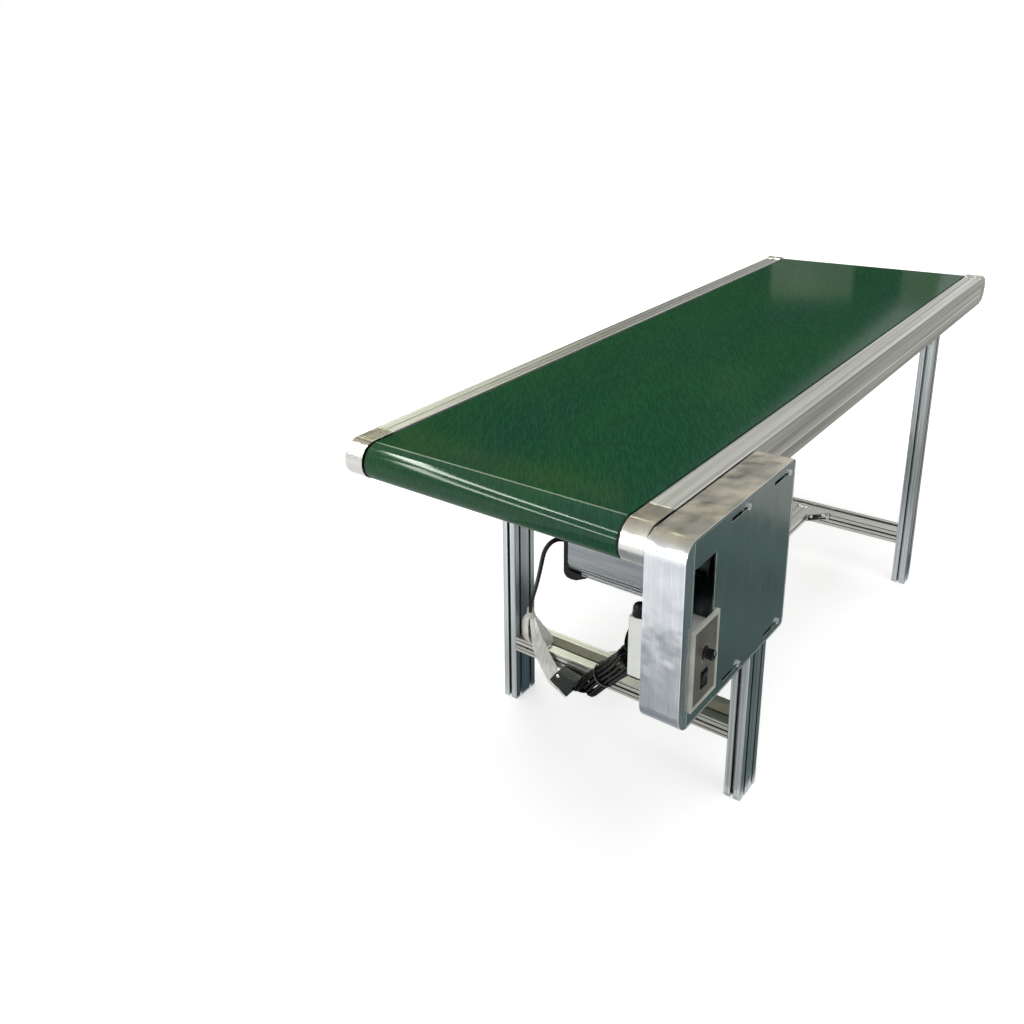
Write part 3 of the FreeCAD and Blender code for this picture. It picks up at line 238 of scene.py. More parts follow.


# %% [markdown]
# The end covers are aluminium too, brushed before anodising, so their lines are finer and
# their gloss is sharper. The lines are drawn 0.9 mm wide, though real ones are a tenth of
# that. What faces up takes a warm painted reflection.

# %% Brushed covers
def brushed_aluminium():
    material, tree, surface = finish_of("brushed_aluminium", "#b3b2b0", 0.24, 1.0)
    lines = grain(tree, 0.9, 60.0, "x", 4.0)
    shades(tree, surface, lines, "#a8a7a5", "#bdbcba")
    # Painted warm reflection on what faces up.
    painted_top_reflection(tree, surface, "#8a8373", "#a8a293", 40.0, 0.85)
    sheen_range(tree, surface, grain(tree, 25.0, 60.0, "x"), 0.18, 0.30)
    relief(tree, surface, lines, 0.03, 0.6, 1.0)
    return material


print("brushed aluminium ready")


# %% [markdown]
# The belt is polyester fabric under green PVC. The cover is embossed with tiny squares,
# about 1.5 mm apart on the real one. They are drawn 3 mm apart here, because finer ones
# vanish at this distance. Two crossed waves make them, one along and one across, in the
# relief alone. The twill of the fabric shows through as slanting streaks, which are
# stretched noise, coarser than the real weave. The gloss is a thin coat over dull green.

# %% Green PVC belt
def pvc_belt():
    material, tree, surface = finish_of("pvc_belt", "#1b4629", 0.5, 0.0, **{
        "IOR": 1.5, "Specular IOR Level": 0.0, "Coat Weight": 0.34, "Coat Roughness": 0.08})
    place = add(tree, "ShaderNodeTexCoord").outputs["Object"]
    shades(tree, surface, grain(tree, 160.0, 420.0, "x"), "#194530", "#1d4b2b", 0.3, 0.7)
    slant = add(tree, "ShaderNodeMapping", {
        "Vector": place, "Rotation": (0.0, 0.0, math.radians(32.0)),
        "Scale": (30.0 * MM, 2.8 * MM, 12.0 * MM)}, vector_type="TEXTURE")
    twill = add(tree, "ShaderNodeTexNoise", {"Vector": slant.outputs["Vector"], "Scale": 1.0, "Detail": 2.0})
    for start, end, most, colour in ((0.45, 0.75, 0.2, "#3c7547"), (0.5, 0.3, 0.24, "#0c2a1a")):
        share = add(tree, "ShaderNodeMapRange", {
            "Value": twill.outputs["Fac"], "From Min": start, "From Max": end,
            "To Min": 0.0, "To Max": most})
        over_colour(tree, surface, share.outputs["Result"], colour)
    threads = []
    for across, pitch in (("X", 3.4), ("Y", 2.6)):
        # A wave repeats every two pi over twenty of its units.
        wave = add(tree, "ShaderNodeTexWave", {
            "Vector": place, "Scale": 2.0 * math.pi / 20.0 / (pitch * MM),
            "Distortion": 0.4, "Detail": 1.0}, bands_direction=across)
        threads.append(wave.outputs["Fac"])
    squares = add(tree, "ShaderNodeMath", {0: threads[0], 1: threads[1]}, operation="MULTIPLY")
    relief(tree, surface, squares.outputs["Value"], 0.15, 0.25)
    return material


print("belt ready")


# %% [markdown]
# The drive housing is folded stainless sheet. Its rim is brushed and slightly dented by
# the bending, and the cover plate is cold rolled and smoother; its darker, greener colour is
# a painted reflection. Both have a painted highlight on their edges, and the shell a warm
# painted reflection on what faces up. Dents are broad, shallow noise in the relief, which
# bends the reflections without moving the outline. The brushing is drawn about ten times
# coarser than it is.

# %% Stainless steel
def stainless(name, low, high, gloss, dents, edge="#f0f0f2", film=0.0):
    material, tree, surface = finish_of(name, high, gloss[0], 1.0)
    brushed = grain(tree, 1.1, 60.0, "z", 3.0)
    shades(tree, surface, brushed, low, high)
    # Painted warm reflection on what faces up, as much as film says, and a painted highlight on the edges in
    # the edge colour.
    painted_top_reflection(tree, surface, "#8d887a", "#b9b29c", 75.0, film)
    painted_edge_highlight(tree, surface, 1.6, edge, 0.7)
    sheen_range(tree, surface, grain(tree, 30.0, 70.0, "z"), *gloss)
    broad = grain(tree, 48.0, 48.0, "none", 1.5)
    relief(tree, surface, broad, dents, 1.0, 1.2)
    return material


print("stainless steel ready")


# %% [markdown]
# The rest is plain machine metal: the galvanised bed, turned rollers, machined pulleys,
# cast corner brackets, zinc-plated screws and the motor's case. One function serves them,
# with the size and the direction of the marks that each way of making leaves. Spangle and
# casting skin are near their real size, and tool marks are coarser.

# %% Machine metals
def machine_metal(name, low, high, gloss, marks, axis="none", depth=0.03):
    material, tree, surface = finish_of(name, high, gloss, 1.0)
    pattern = grain(tree, marks[0], marks[1], axis, 3.0)
    shades(tree, surface, pattern, low, high)
    # Painted shade: the colour darkens to near black where the surface is hemmed in.
    painted_crevice_shade(tree, surface, 8.0, "#242627", 0.7)
    sheen_range(tree, surface, pattern, gloss - 0.06, gloss + 0.08)
    relief(tree, surface, pattern, depth, 0.6, 0.8)
    return material


print("machine metals ready")


# %% [markdown]
# Moulded plastic has a fine spark-eroded grain, about 0.3 mm wide, drawn twice as wide so
# that it shows, and rounded edges. ABS makes the controller's box, glass-filled nylon the
# glands and the motor's end, and PVC the leads, which are smoother. The timing belt is
# neoprene, which is duller. The bag is clear polythene, and the light that its creases catch
# is painted into its colour as near white with lighter and darker streaks.

# %% Plastics, rubber and film
def moulded_plastic(name, low, high, gloss, pitch=0.6, depth=0.02, rounding=1.0, shine=0.5):
    material, tree, surface = finish_of(name, high, gloss, 0.0, **{"IOR": 1.5, "Specular IOR Level": shine})
    shades(tree, surface, grain(tree, 45.0, 45.0, "none"), low, high)
    speckle = grain(tree, pitch, pitch, "none", 1.0)
    sheen_range(tree, surface, grain(tree, 12.0, 12.0, "none"), gloss - 0.05, gloss + 0.08)
    relief(tree, surface, speckle, depth, 0.5, rounding)
    return material


def clear_film():
    material, tree, surface = finish_of("polythene_film", "#dedcd3", 0.30, 0.0, **{
        "IOR": 1.5, "Specular IOR Level": 0.4, "Transmission Weight": 0.12})
    creases = grain(tree, 5.0, 26.0, "z", 3.0)
    # Painted highlight and shade: the colour is lighter and darker along the creases.
    shades(tree, surface, creases, "#cfcdc3", "#e9e8e2", 0.3, 0.6)
    relief(tree, surface, creases, 0.6, 0.6)
    return material


print("plastics ready")


# %% [markdown]
# Each node takes the finish of what the real piece is made of. An extrusion's finish also
# says which way it was drawn. The finishes are made once and shared, so a change to one
# shows on every piece that has it.

# %% Give the nodes their finishes
finishes = {
    "aluminium_x": anodised_aluminium("x"),
    "aluminium_y": anodised_aluminium("y"),
    "aluminium_z": anodised_aluminium("z", "#989da0", "#c6cbcd"),
    "brushed": brushed_aluminium(),
    "belt": pvc_belt(),
    "shell": stainless("stainless_shell", "#afb2b7", "#bbbec3", (0.16, 0.28), 2.6, film=0.9),
    # The plate's colour is painted darker and greener than the shell's: a painted reflection of dark
    # surroundings.
    "plate": stainless("stainless_plate", "#82918f", "#8f9e9c", (0.14, 0.24), 0.5, "#b4bfbd"),
    "bed": machine_metal("galvanised_bed", "#8f9496", "#a3a8aa", 0.42, (14.0, 14.0)),
    "turned": machine_metal("turned_steel", "#9c9ea0", "#b8babc", 0.26, (0.6, 400.0)),
    "pulley": machine_metal("machined_pulley", "#a9abad", "#c2c4c6", 0.30, (0.6, 0.6)),
    "cast": machine_metal("cast_bracket", "#aaaba8", "#c8c9c5", 0.36, (1.6, 1.6), depth=0.08),
    "zinc": machine_metal("zinc_screw", "#d2d3d3", "#f0f0ee", 0.20, (0.8, 0.8)),
    "motor": machine_metal("motor_alloy", "#73767a", "#878a8d", 0.34, (1.4, 120.0), "y", 0.04),
    "rubber": moulded_plastic("neoprene_rubber", "#0d0e0f", "#161718", 0.6, shine=0.25),
    "abs": moulded_plastic("abs_plastic", "#dadcd6", "#e4e5e0", 0.42),
    "nylon": moulded_plastic("black_nylon", "#050505", "#09090a", 0.26, shine=0.15),
    "bezel": moulded_plastic("bezel_plastic", "#b7b7ae", "#cdcdc6", 0.34),
    "face": moulded_plastic("bezel_face", "#57534a", "#6a665b", 0.4),
    "cable": moulded_plastic("pvc_cable", "#020202", "#040404", 0.2, 2.0, 0.01, 0.0, 0.012),
    "connector": moulded_plastic("pbt_connector", "#0d1614", "#15211e", 0.30, shine=0.3),
    "film": clear_film(),
}
finish_of_node = {
    "rail_left": "aluminium_x", "rail_right": "aluminium_x", "stretcher": "aluminium_x",
    "crossbar_near": "aluminium_y", "crossbar_far": "aluminium_y",
    "leg_near_left": "aluminium_z", "leg_near_right": "aluminium_z",
    "leg_far_left": "aluminium_z", "leg_far_right": "aluminium_z",
    "drive_cover_left": "brushed", "drive_cover_right": "brushed",
    "tail_cover_left": "brushed", "tail_cover_right": "brushed",
    "conveyor_belt": "belt", "slider_bed": "bed", "bed_ribs": "bed",
    "drive_roller": "turned", "tail_roller": "turned",
    "drive_pulley": "pulley", "motor_pulley": "pulley", "timing_belt": "rubber",
    "stretcher_brackets": "cast", "leg_brackets_near": "cast", "leg_brackets_far": "cast",
    "housing_shell": "shell", "housing_cover": "plate",
    "housing_screws": "zinc", "housing_spacers": "zinc",
    "controller_bezel": "bezel", "controller_body": "abs",
    "controller_knob": "nylon", "controller_rocker": "nylon", "controller_gland": "nylon",
    "controller_lead_gland": "nylon",
    "motor_body": "motor", "gearbox": "motor", "motor_cap": "nylon", "motor_lead_gland": "nylon",
    "motor_lead": "cable", "controller_lead": "cable", "lead_hank": "cable", "lead_tie": "nylon",
    "lead_sleeve": "film", "lead_connector": "connector",
}
for node, finish in finish_of_node.items():
    nodes[node].data.materials.clear()
    nodes[node].data.materials.append(finishes[finish])
print("nodes without a finish:", sorted(set(nodes) - set(finish_of_node)))


# %% [markdown]
# A lead is a smooth curve: a NURBS line that starts and ends on its first and last
# points, with a round bevel as its skin. The motor's lead leaves the gland level, bows
# over and falls to the sleeve on the crossbar.

# %% Motor lead
def cord_curve(name, route, diameter, material):
    curve = bpy.data.curves.new(name, "CURVE")
    curve.dimensions = "3D"
    curve.bevel_depth = diameter / 2.0
    curve.bevel_resolution = 6
    curve.resolution_u = 10
    spline = curve.splines.new("NURBS")
    spline.points.add(len(route) - 1)
    for point, place in zip(spline.points, route):
        point.co = (*place, 1.0)
    spline.order_u = 3
    spline.use_endpoint_u = True
    curve.materials.append(material)
    cord = bpy.data.objects.new(name, curve)
    bpy.context.scene.collection.objects.link(cord)
    return cord


def metres(points):
    return [Vector(point) * MM for point in points]


def length_of(cord):
    plain = cord.data.copy()
    plain.bevel_depth = 0.0
    holder = bpy.data.objects.new("measure", plain)
    mesh = bpy.data.meshes.new_from_object(holder)
    steps = [[mesh.vertices[end].co for end in edge.vertices] for edge in mesh.edges]
    total = sum((b - a).length for a, b in steps)
    bpy.data.objects.remove(holder)
    bpy.data.meshes.remove(mesh)
    return total


MOTOR_LEAD_ROUTE = metres([
    (-771.5, -38.5, 610.4), (-771.5, -18.5, 610.4), (-767, 0, 598), (-756, 17, 580), (-736, 39, 551),
    (-704, 65, 509), (-659, 101, 453), (-603, 146, 386), (-539, 200, 308), (-475, 249, 230),
])
motor_lead = cord_curve("motor_lead_cable", MOTOR_LEAD_ROUTE, 8.0 * MM, finishes["cable"])
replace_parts(motor_lead, "motor_lead")
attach(motor_lead, "frame")
print("motor lead", round(length_of(motor_lead), 3), "m")


# %% [markdown]
# The controller's lead falls behind its box and ends in a hank: the spare length, folded
# to and fro. Each run lies on a ring round the hank's middle line, and each fold crosses
# to the far side of the ring, so that it can turn widely. Each pair of runs lies a little
# further down than the pair before it, so that the folds nest instead of crossing.

# %% Controller lead and its hank
CONTROLLER_LEAD_ROUTE = metres([
    (-814.5, -226, 570), (-796.5, -226, 570), (-780, -218, 566), (-769, -204, 557), (-765, -187, 543),
    (-764, -170, 525), (-765, -154, 504), (-766, -142, 479), (-763, -136, 453), (-750, -133, 432),
])
HANK_ROUTE = metres([
    (-716, -126, 408), (-688, -105, 377), (-636, -66, 320), (-582, -10, 252), (-542, 38, 192),
    (-517, 76, 142), (-512, 97, 117), (-509, 119, 114),
])
CABLE = 6.0 * MM
RUNS = 15
RING = 19.3 * MM
# Each pair of runs lies this much further down than the pair before it.
NEST = 6.4 * MM
# No fold comes nearer than this to the top or the bottom of the middle line.
TOP_GAP = 2.0 * MM
BOTTOM_GAP = 14.0 * MM
# A run's own points stop this far short of its folds, and its inner ones stray a little.
INSET = 5.2 * MM
RUN_STEPS = 6
STRAY = 0.03
# The lead passes inside the points of a fold, so they lie on a slightly wider half circle.
FOLD_RADIUS = RING * 1.035
FOLD_TURNS = (15.0, 45.0, 75.0, 105.0, 135.0, 165.0)


def smooth_line(route, steps=24):
    # Bezier arcs from midpoint to midpoint, each drawn towards the corner between them.
    line = []
    for before, corner, after in zip(route, route[1:], route[2:]):
        start = before if before is route[0] else (before + corner) / 2.0
        end = after if after is route[-1] else (corner + after) / 2.0
        for step in range(steps):
            t = step / steps
            line.append(start * (1 - t) ** 2 + corner * 2 * t * (1 - t) + end * t * t)
    return line + [route[-1]]


def on_line(line, distance, angle, radius, beyond=0.0):
    # The point at a distance along the line, off it at an angle round it, and straight on
    # from there by a further length.
    for start, end in zip(line, line[1:]):
        step = end - start
        if distance <= step.length or end is line[-1]:
            break
        distance -= step.length
    ahead = step.normalized()
    side = ahead.cross(Vector((0, 0, 1))).normalized()
    over = side.cross(ahead)
    return start + ahead * (distance + beyond) + (side * math.cos(angle) + over * math.sin(angle)) * radius


hank_line = smooth_line(HANK_ROUTE)
hank_length = sum((b - a).length for a, b in zip(hank_line, hank_line[1:]))
controller_route = list(CONTROLLER_LEAD_ROUTE)
controller_route.append(on_line(hank_line, -12.0 * MM, 0.0, 2.0 * MM))
angle = 0.0
for run in range(RUNS):
    top = TOP_GAP + RING + NEST * ((run + 1) // 2)
    bottom = hank_length - BOTTOM_GAP - RING - NEST * (RUNS // 2 - run // 2)
    start, end = (top, bottom) if run % 2 == 0 else (bottom, top)
    inset = math.copysign(INSET, end - start)
    for step in range(RUN_STEPS + 1):
        place = start + inset + (end - start - 2.0 * inset) * step / RUN_STEPS
        inner = 0 < step < RUN_STEPS
        stray = 1.0 + (STRAY * math.sin(2.3 * run + 1.7 * step) if inner else 0.0)
        controller_route.append(on_line(hank_line, place, angle, RING * stray))
    if run < RUNS - 1:
        outward = math.copysign(FOLD_RADIUS, end - start)
        next_angle = angle + math.pi * (1.0 + 1.0 / RUNS)
        for turn in FOLD_TURNS:
            around = math.radians(turn)
            beyond = outward * math.sin(around)
            off = FOLD_RADIUS * abs(math.cos(around))
            bearing = angle if turn < 90.0 else next_angle
            controller_route.append(on_line(hank_line, end, bearing, off, beyond))
        angle = next_angle
controller_route.append(on_line(hank_line, hank_length - 6.0 * MM, angle, 6.0 * MM))
controller_route.append(HANK_ROUTE[-1])
controller_lead = cord_curve("controller_lead_cable", controller_route, CABLE, finishes["cable"])
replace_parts(controller_lead, "controller_lead", "lead_hank")
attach(controller_lead, "frame")
print("controller lead", round(length_of(controller_lead), 3), "m in", len(controller_route), "points")


# %% [markdown]
# Where the motor's lead meets its plug, polythene film is gathered round it and opens into
# a crumpled bag on the crossbar. A strap of the same film hangs down to the connector.
# Each part is a ruled sheet between two edges, with folds added by noise: film creases in
# flat facets, so the noise is folded rather than smooth.

# %% Film sleeve
def along(points, count):
    # Count points at equal steps along a smoothed line through the given ones.
    line = smooth_line(metres(points), 12)
    total = sum((b - a).length for a, b in zip(line, line[1:]))
    return [on_line(line, total * step / (count - 1), 0.0, 0.0) for step in range(count)]


def ruled_sheet(build, edge_a, edge_b, rows, columns, bulge, crumple):
    # Bulge bows the sheet between its edges, and crumple is the depth of its folds.
    grid = []
    for start, end in zip(along(edge_a, rows), along(edge_b, rows)):
        row = []
        for column in range(columns):
            t = column / (columns - 1)
            place = start.lerp(end, t) + Vector((-bulge * MM * math.sin(math.pi * t), 0.0, 0.0))
            fold = abs(noise.noise(place * 95.0)) + 0.5 * abs(noise.noise(place * 210.0)) - 0.3
            row.append(build.verts.new(place + Vector((-crumple * MM * fold, 0.0, 0.0))))
        grid.append(row)
    for upper, lower in zip(grid, grid[1:]):
        for a, b, c, d in zip(upper, upper[1:], lower[1:], lower):
            build.faces.new((a, b, c, d))


def mesh_object(name, build, material, smooth=True):
    mesh = bpy.data.meshes.new(name)
    bmesh.ops.recalc_face_normals(build, faces=build.faces)
    for face in build.faces:
        face.smooth = smooth
    build.to_mesh(mesh)
    build.free()
    mesh.materials.append(material)
    thing = bpy.data.objects.new(name, mesh)
    bpy.context.scene.collection.objects.link(thing)
    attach(thing, "frame")
    return thing


def gathered_neck(build, top, foot, radii, flutes, rows=12, columns=28):
    # A fluted tube from one radius to another, whose flutes twist a little on the way.
    grid = []
    for row in range(rows):
        t = row / (rows - 1)
        centre = Vector(top).lerp(Vector(foot), t) * MM
        ring = []
        for column in range(columns):
            around = 2.0 * math.pi * column / columns
            fold = 1.0 + 0.16 * math.sin(flutes * around + 2.0 * t)
            radius = (radii[0] + (radii[1] - radii[0]) * t) * fold
            spoke = Vector((math.cos(around), math.sin(around), 0.0))
            ring.append(build.verts.new(centre + spoke * radius * MM))
        grid.append(ring)
    for upper, lower in zip(grid, grid[1:]):
        for column in range(columns):
            after = (column + 1) % columns
            build.faces.new((upper[column], upper[after], lower[after], lower[column]))


FILM_SHEETS = [
    # The bag's left side, the strap and the right side: both edges, rows, columns, bulge, crumple.
    ([(-474, 256, 226), (-470, 267, 214), (-467, 277, 196), (-466, 278, 178), (-466, 277, 160)],
     [(-478, 249, 224), (-484, 249, 204), (-487, 247, 186), (-488, 243, 172), (-487, 238, 160)],
     26, 14, 3.0, 3.5),
    ([(-480, 247, 224), (-485, 243, 205), (-488, 238, 185), (-489, 236, 164), (-489, 233, 150),
      (-490, 219, 125), (-492, 203, 106), (-504, 184, 98), (-518.6, 160, 104), (-518.9, 131, 88)],
     [(-476, 240, 223), (-482, 228, 207), (-486, 214, 192), (-488, 199, 172), (-489, 185, 150),
      (-491, 168, 133), (-494, 170, 119), (-506, 170, 114), (-518.6, 157, 110), (-518.9, 131, 93)],
     60, 12, 1.0, 2.0),
    ([(-474, 240, 223), (-480, 227, 205), (-483, 214, 188), (-484, 208, 172), (-482, 204, 160)],
     [(-468, 238, 220), (-460, 226, 200), (-453, 216, 184), (-449, 210, 172), (-447, 206, 160)],
     24, 12, -1.0, 3.0),
]
film = bmesh.new()
gathered_neck(film, (-477, 247, 243), (-474, 248, 219), (5.2, 9.5), 7)
for sheet in FILM_SHEETS:
    ruled_sheet(film, *sheet)
film_area = sum(face.calc_area() for face in film.faces)
sleeve = mesh_object("film_sleeve", film, finishes["film"])
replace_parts(sleeve, "lead_sleeve")
print("film", round(film_area * 1e4, 1), "square centimetres")


# %% [markdown]
# Small trim makes a machine look real: turned screws, the moulded face of the controller
# with its knob and rocker, the motor's ribs, and strips on the extrusions' slots that paint
# their shade. Turned things are a profile spun about an axis, and pressed or moulded ones are
# blocks with rounded edges.

# %% Trim builders
def block(name, low, high, edge, material):
    # A box from its low corner to its high one, with its edges rounded by edge.
    build = bmesh.new()
    bmesh.ops.create_cube(build, size=1.0)
    low, high = Vector(low) * MM, Vector(high) * MM
    for vertex in build.verts:
        vertex.co = Vector((low[i] + (high[i] - low[i]) * (vertex.co[i] + 0.5) for i in range(3)))
    bmesh.ops.bevel(build, geom=list(build.edges), offset=edge * MM, segments=3, profile=0.6, affect="EDGES")
    return mesh_object(name, build, material, False)


def turned(name, profile, place, toward, material, sides=32):
    # The profile is (radius, height) in millimetres, spun about the direction it points in.
    build = bmesh.new()
    turn = Vector(toward).to_track_quat("Z", "Y").to_matrix().to_4x4()
    seat = Matrix.Translation(Vector(place) * MM) @ turn
    rings = []
    for radius, height in profile:
        count = 1 if radius == 0 else sides
        angles = [2 * math.pi * k / sides for k in range(count)]
        ring = [Vector((radius * math.cos(angle), radius * math.sin(angle), height)) for angle in angles]
        rings.append([build.verts.new(seat @ (point * MM)) for point in ring])
    for lower, upper in zip(rings, rings[1:]):
        for k in range(sides):
            corners = [lower[k % len(lower)], lower[(k + 1) % len(lower)],
                       upper[(k + 1) % len(upper)], upper[k % len(upper)]]
            build.faces.new(dict.fromkeys(corners))
    return mesh_object(name, build, material)


def button_screw(name, place, toward, radius, height, material):
    # A domed head with a hexagon socket, which reads as a dark hole at this size.
    dome = [(1.0, 0.0), (1.0, 0.25), (0.92, 0.6), (0.7, 0.9), (0.5, 1.0),
            (0.42, 0.95), (0.38, 0.2), (0.0, 0.15)]
    profile = [(radius * across, height * up) for across, up in dome]
    return turned(name, profile, place, toward, material, 24)


def prism(name, outline, low, high, edge, material):
    # An outline of (y, z) points drawn out along X, with its edges rounded.
    build = bmesh.new()
    base = build.faces.new([build.verts.new(Vector((low, y, z)) * MM) for y, z in outline])
    grown = bmesh.ops.extrude_face_region(build, geom=[base])["geom"]
    far_end = [part for part in grown if isinstance(part, bmesh.types.BMVert)]
    bmesh.ops.translate(build, verts=far_end, vec=((high - low) * MM, 0, 0))
    bmesh.ops.bevel(build, geom=list(build.edges), offset=edge * MM, segments=3, profile=0.6, affect="EDGES")
    return mesh_object(name, build, material, False)


print("trim builders ready")


# %% [markdown]
# The controller's face is a plate let into the bezel, and round the knob it has plain
# marks for the speed, longer at the ends. On a real one they are printed. Here they are
# thin bars that stand just proud of the plate, so that they stay sharp from close by.

# %% Controller face
KNOB_X = -856.5
KNOB_Z = 557.0
finishes["mark"] = moulded_plastic("white_paint", "#e4e4de", "#f0f0ea", 0.4)
block("controller_face", (-891, -311.2, 483.5), (-822, -310.3, 602.5), 0.3, finishes["face"])
for step in range(11):
    around = math.radians(-60.0 + 30.0 * step)
    inner, outer = (12.6, 15.8) if step in (0, 5, 10) else (12.8, 14.8)
    middle = (inner + outer) / 2.0
    build = bmesh.new()
    bmesh.ops.create_cube(build, size=1.0)
    bmesh.ops.scale(build, verts=build.verts, vec=((outer - inner) * MM, 0.3 * MM, 0.8 * MM))
    bmesh.ops.bevel(build, geom=list(build.edges), offset=0.1 * MM, segments=1, affect="EDGES")
    place = Vector((KNOB_X - middle * math.cos(around), -311.25, KNOB_Z + middle * math.sin(around))) * MM
    bmesh.ops.transform(build, verts=build.verts,
                        matrix=Matrix.Translation(place) @ Matrix.Rotation(around, 4, "Y"))
    mesh_object("speed_mark_%d" % step, build, finishes["mark"], False)
print("face with", step + 1, "marks")


# %% [markdown]
# The knob is moulded nylon: a round skirt that hides the spindle, a body with flutes for
# the fingers, and a white line that points at the speed. The body is spun from its
# profile, and the flutes are narrow blocks set round it.

# %% Speed knob
FLUTES = 18
FLUTE_RING = 7.2
knob_profile = [(10.0, 0.0), (10.0, 3.0), (9.4, 3.6), (7.6, 4.2), (7.2, 13.6), (6.6, 14.7), (0.0, 14.9)]
knob = turned("knob_turned", knob_profile, (KNOB_X, -310.4, KNOB_Z), (0, -1, 0), finishes["nylon"])
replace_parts(knob, "controller_knob")
for flute in range(FLUTES):
    around = 2.0 * math.pi * flute / FLUTES
    x = KNOB_X + FLUTE_RING * math.cos(around)
    z = KNOB_Z + FLUTE_RING * math.sin(around)
    block("knob_flute_%02d" % flute, (x - 0.6, -324.2, z - 0.6), (x + 0.6, -315.0, z + 0.6), 0.3,
          finishes["nylon"])
block("knob_line", (-857.1, -325.45, 557.5), (-855.9, -324.9, 563.6), 0.2, finishes["mark"])
print("knob with", FLUTES, "flutes")


# %% [markdown]
# The rocker is a key that tilts in a rim, here pressed in at its lower end. It is drawn
# from its side, as five points, and stretched across, and the rim is four rounded bars.

# %% Rocker
rocker = bmesh.new()
key = [(-310.5, 503.0), (-311.6, 503.0), (-312.4, 514.0), (-314.5, 527.0), (-310.5, 527.0)]
ends = [[rocker.verts.new(Vector((x, y, z)) * MM) for y, z in key] for x in (-864.0, -849.0)]
rocker.faces.new(ends[0])
rocker.faces.new(ends[1])
for k in range(len(key)):
    rocker.faces.new((ends[0][k], ends[0][k - 1], ends[1][k - 1], ends[1][k]))
bmesh.ops.bevel(rocker, geom=list(rocker.edges), offset=0.4 * MM, segments=3, affect="EDGES")
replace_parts(mesh_object("rocker_key", rocker, finishes["nylon"], False), "controller_rocker")
for low, high in (((-866.2, 501.0), (-864.6, 529.0)), ((-848.4, 501.0), (-846.8, 529.0)),
                  ((-866.2, 527.4), (-846.8, 529.0)), ((-866.2, 501.0), (-846.8, 502.6))):
    block("rocker_rim_%d_%d" % (-low[0], low[1]), (low[0], -312.4, low[1]), (high[0], -310.9, high[1]), 0.4,
          finishes["nylon"])
print("rocker done")


# %% [markdown]
# The motor is an extruded case: a smooth upper part, then a bead and five cooling ribs.
# They stand about a millimetre proud, so each is a thin block laid along the case. Its
# black end cap has a cheek that laps round the corner.

# %% Motor ribs
RIBS = [
    # Height, thickness and how far it stands proud.
    (628, 3.0, 0.8), (604, 2.0, 1.4), (598, 2.4, 1.4),
    (593.6, 2.4, 1.4), (589.2, 2.4, 1.4), (585.2, 2.2, 1.2),
]
for number, (level, tall, proud) in enumerate(RIBS):
    block("motor_rib_%d" % number, (-816.5 - proud, -203.0, level - tall / 2),
          (-815.5, -86.0, level + tall / 2), 0.5, finishes["motor"])
CHEEK = [(-54, 592), (-54, 578), (-58, 573), (-66, 571.5), (-76, 572.5), (-86, 577.5), (-97, 583.4),
         (-84, 584.6), (-66, 586), (-60.6, 592)]
prism("motor_cap_cheek", CHEEK, -817.3, -811.0, 0.5, finishes["nylon"])
print("bead and ribs:", len(RIBS))


# %% [markdown]
# The crossbars are slotted extrusions. A khaki strip on the near one's top slot paints the
# slot's shade, and the shade in the other slots is painted as black lines. Each is a long
# thin block on the bar's face.

# %% Painted slot shade
BAR_RIGHT = -200.0
BAR_LEFT = 281.0
SLOT_SHADE_DEPTH = 0.8
# Painted shade: the khaki strip and the black lines below stand for shade in the slots.
finishes["strip"] = moulded_plastic("slot_shade_strip", "#8b8872", "#9b9882", 0.5)
block("crossbar_near_slot_shade", (-456.5, BAR_RIGHT, 158.6), (-429.5, BAR_LEFT, 159.5), 0.3, finishes["strip"])
for bar, x, half, levels in (("near", -483.8, 0.9, (153.2, 143.0, 133.5)),
                             ("far", 530.1, 1.0, (141.5, 130.5, 119.5))):
    for number, level in enumerate(levels):
        block("crossbar_%s_line_%d" % (bar, number), (x, BAR_RIGHT, level - half),
              (x + SLOT_SHADE_DEPTH, BAR_LEFT, level + half), 0.25, finishes["rubber"])
block("crossbar_far_top_slot_shade", (546.0, BAR_RIGHT, 149.6), (551.0, BAR_LEFT, 150.3), 0.25, finishes["rubber"])
print("slot strips done")


# %% [markdown]
# Zinc-plated button-head screws hold the corner brackets to the extrusions, and two small
# ones sit on the tail covers. A screw is placed by where its head seats and which way its
# head points. The plug's body has a bright catch pin.

# %% Screws and catch pin
screws = [(x + way * 10, y, 140, (way, 0, 0))
          for x, way in ((-413.5, 1), (532.5, -1)) for y in (-16.5, 97.5)]
screws += [(x, y, 140, (0, side, 0)) for x in (-379.5, 498.5) for y, side in ((7.5, -1), (73.5, 1))]
for x, way in ((-483.5, -1), (-411.5, 1), (530.5, -1), (570.5, 1)):
    for y in (-216.5, 297.5):
        screws += [(x + way * 16, y, 672, (0, 0, -1)), (x + way * 8, y, 664, (way, 0, 0))]
for number, (x, y, z, toward) in enumerate(screws):
    button_screw("bracket_screw_%02d" % number, (x, y, z), toward, 6.6, 4.0, finishes["zinc"])
pin_profile = [(4.2, 0.0), (4.2, 1.4), (3.6, 2.4), (2.2, 3.0), (0.0, 3.2)]
turned("connector_pin", pin_profile, (-517.0, 151, 135), (-1, 0, 0), finishes["zinc"])
for side, y in (("right", -224.0), ("left", 305.0)):
    button_screw("tail_screw_" + side, (878.5, y, 751.9), (0, 0, 1), 5.0, 1.8, finishes["zinc"])


# %% [markdown]
# Both leads are free cords, and their real lengths are measured.

round(length_of(motor_lead), 3)
round(length_of(controller_lead), 3)


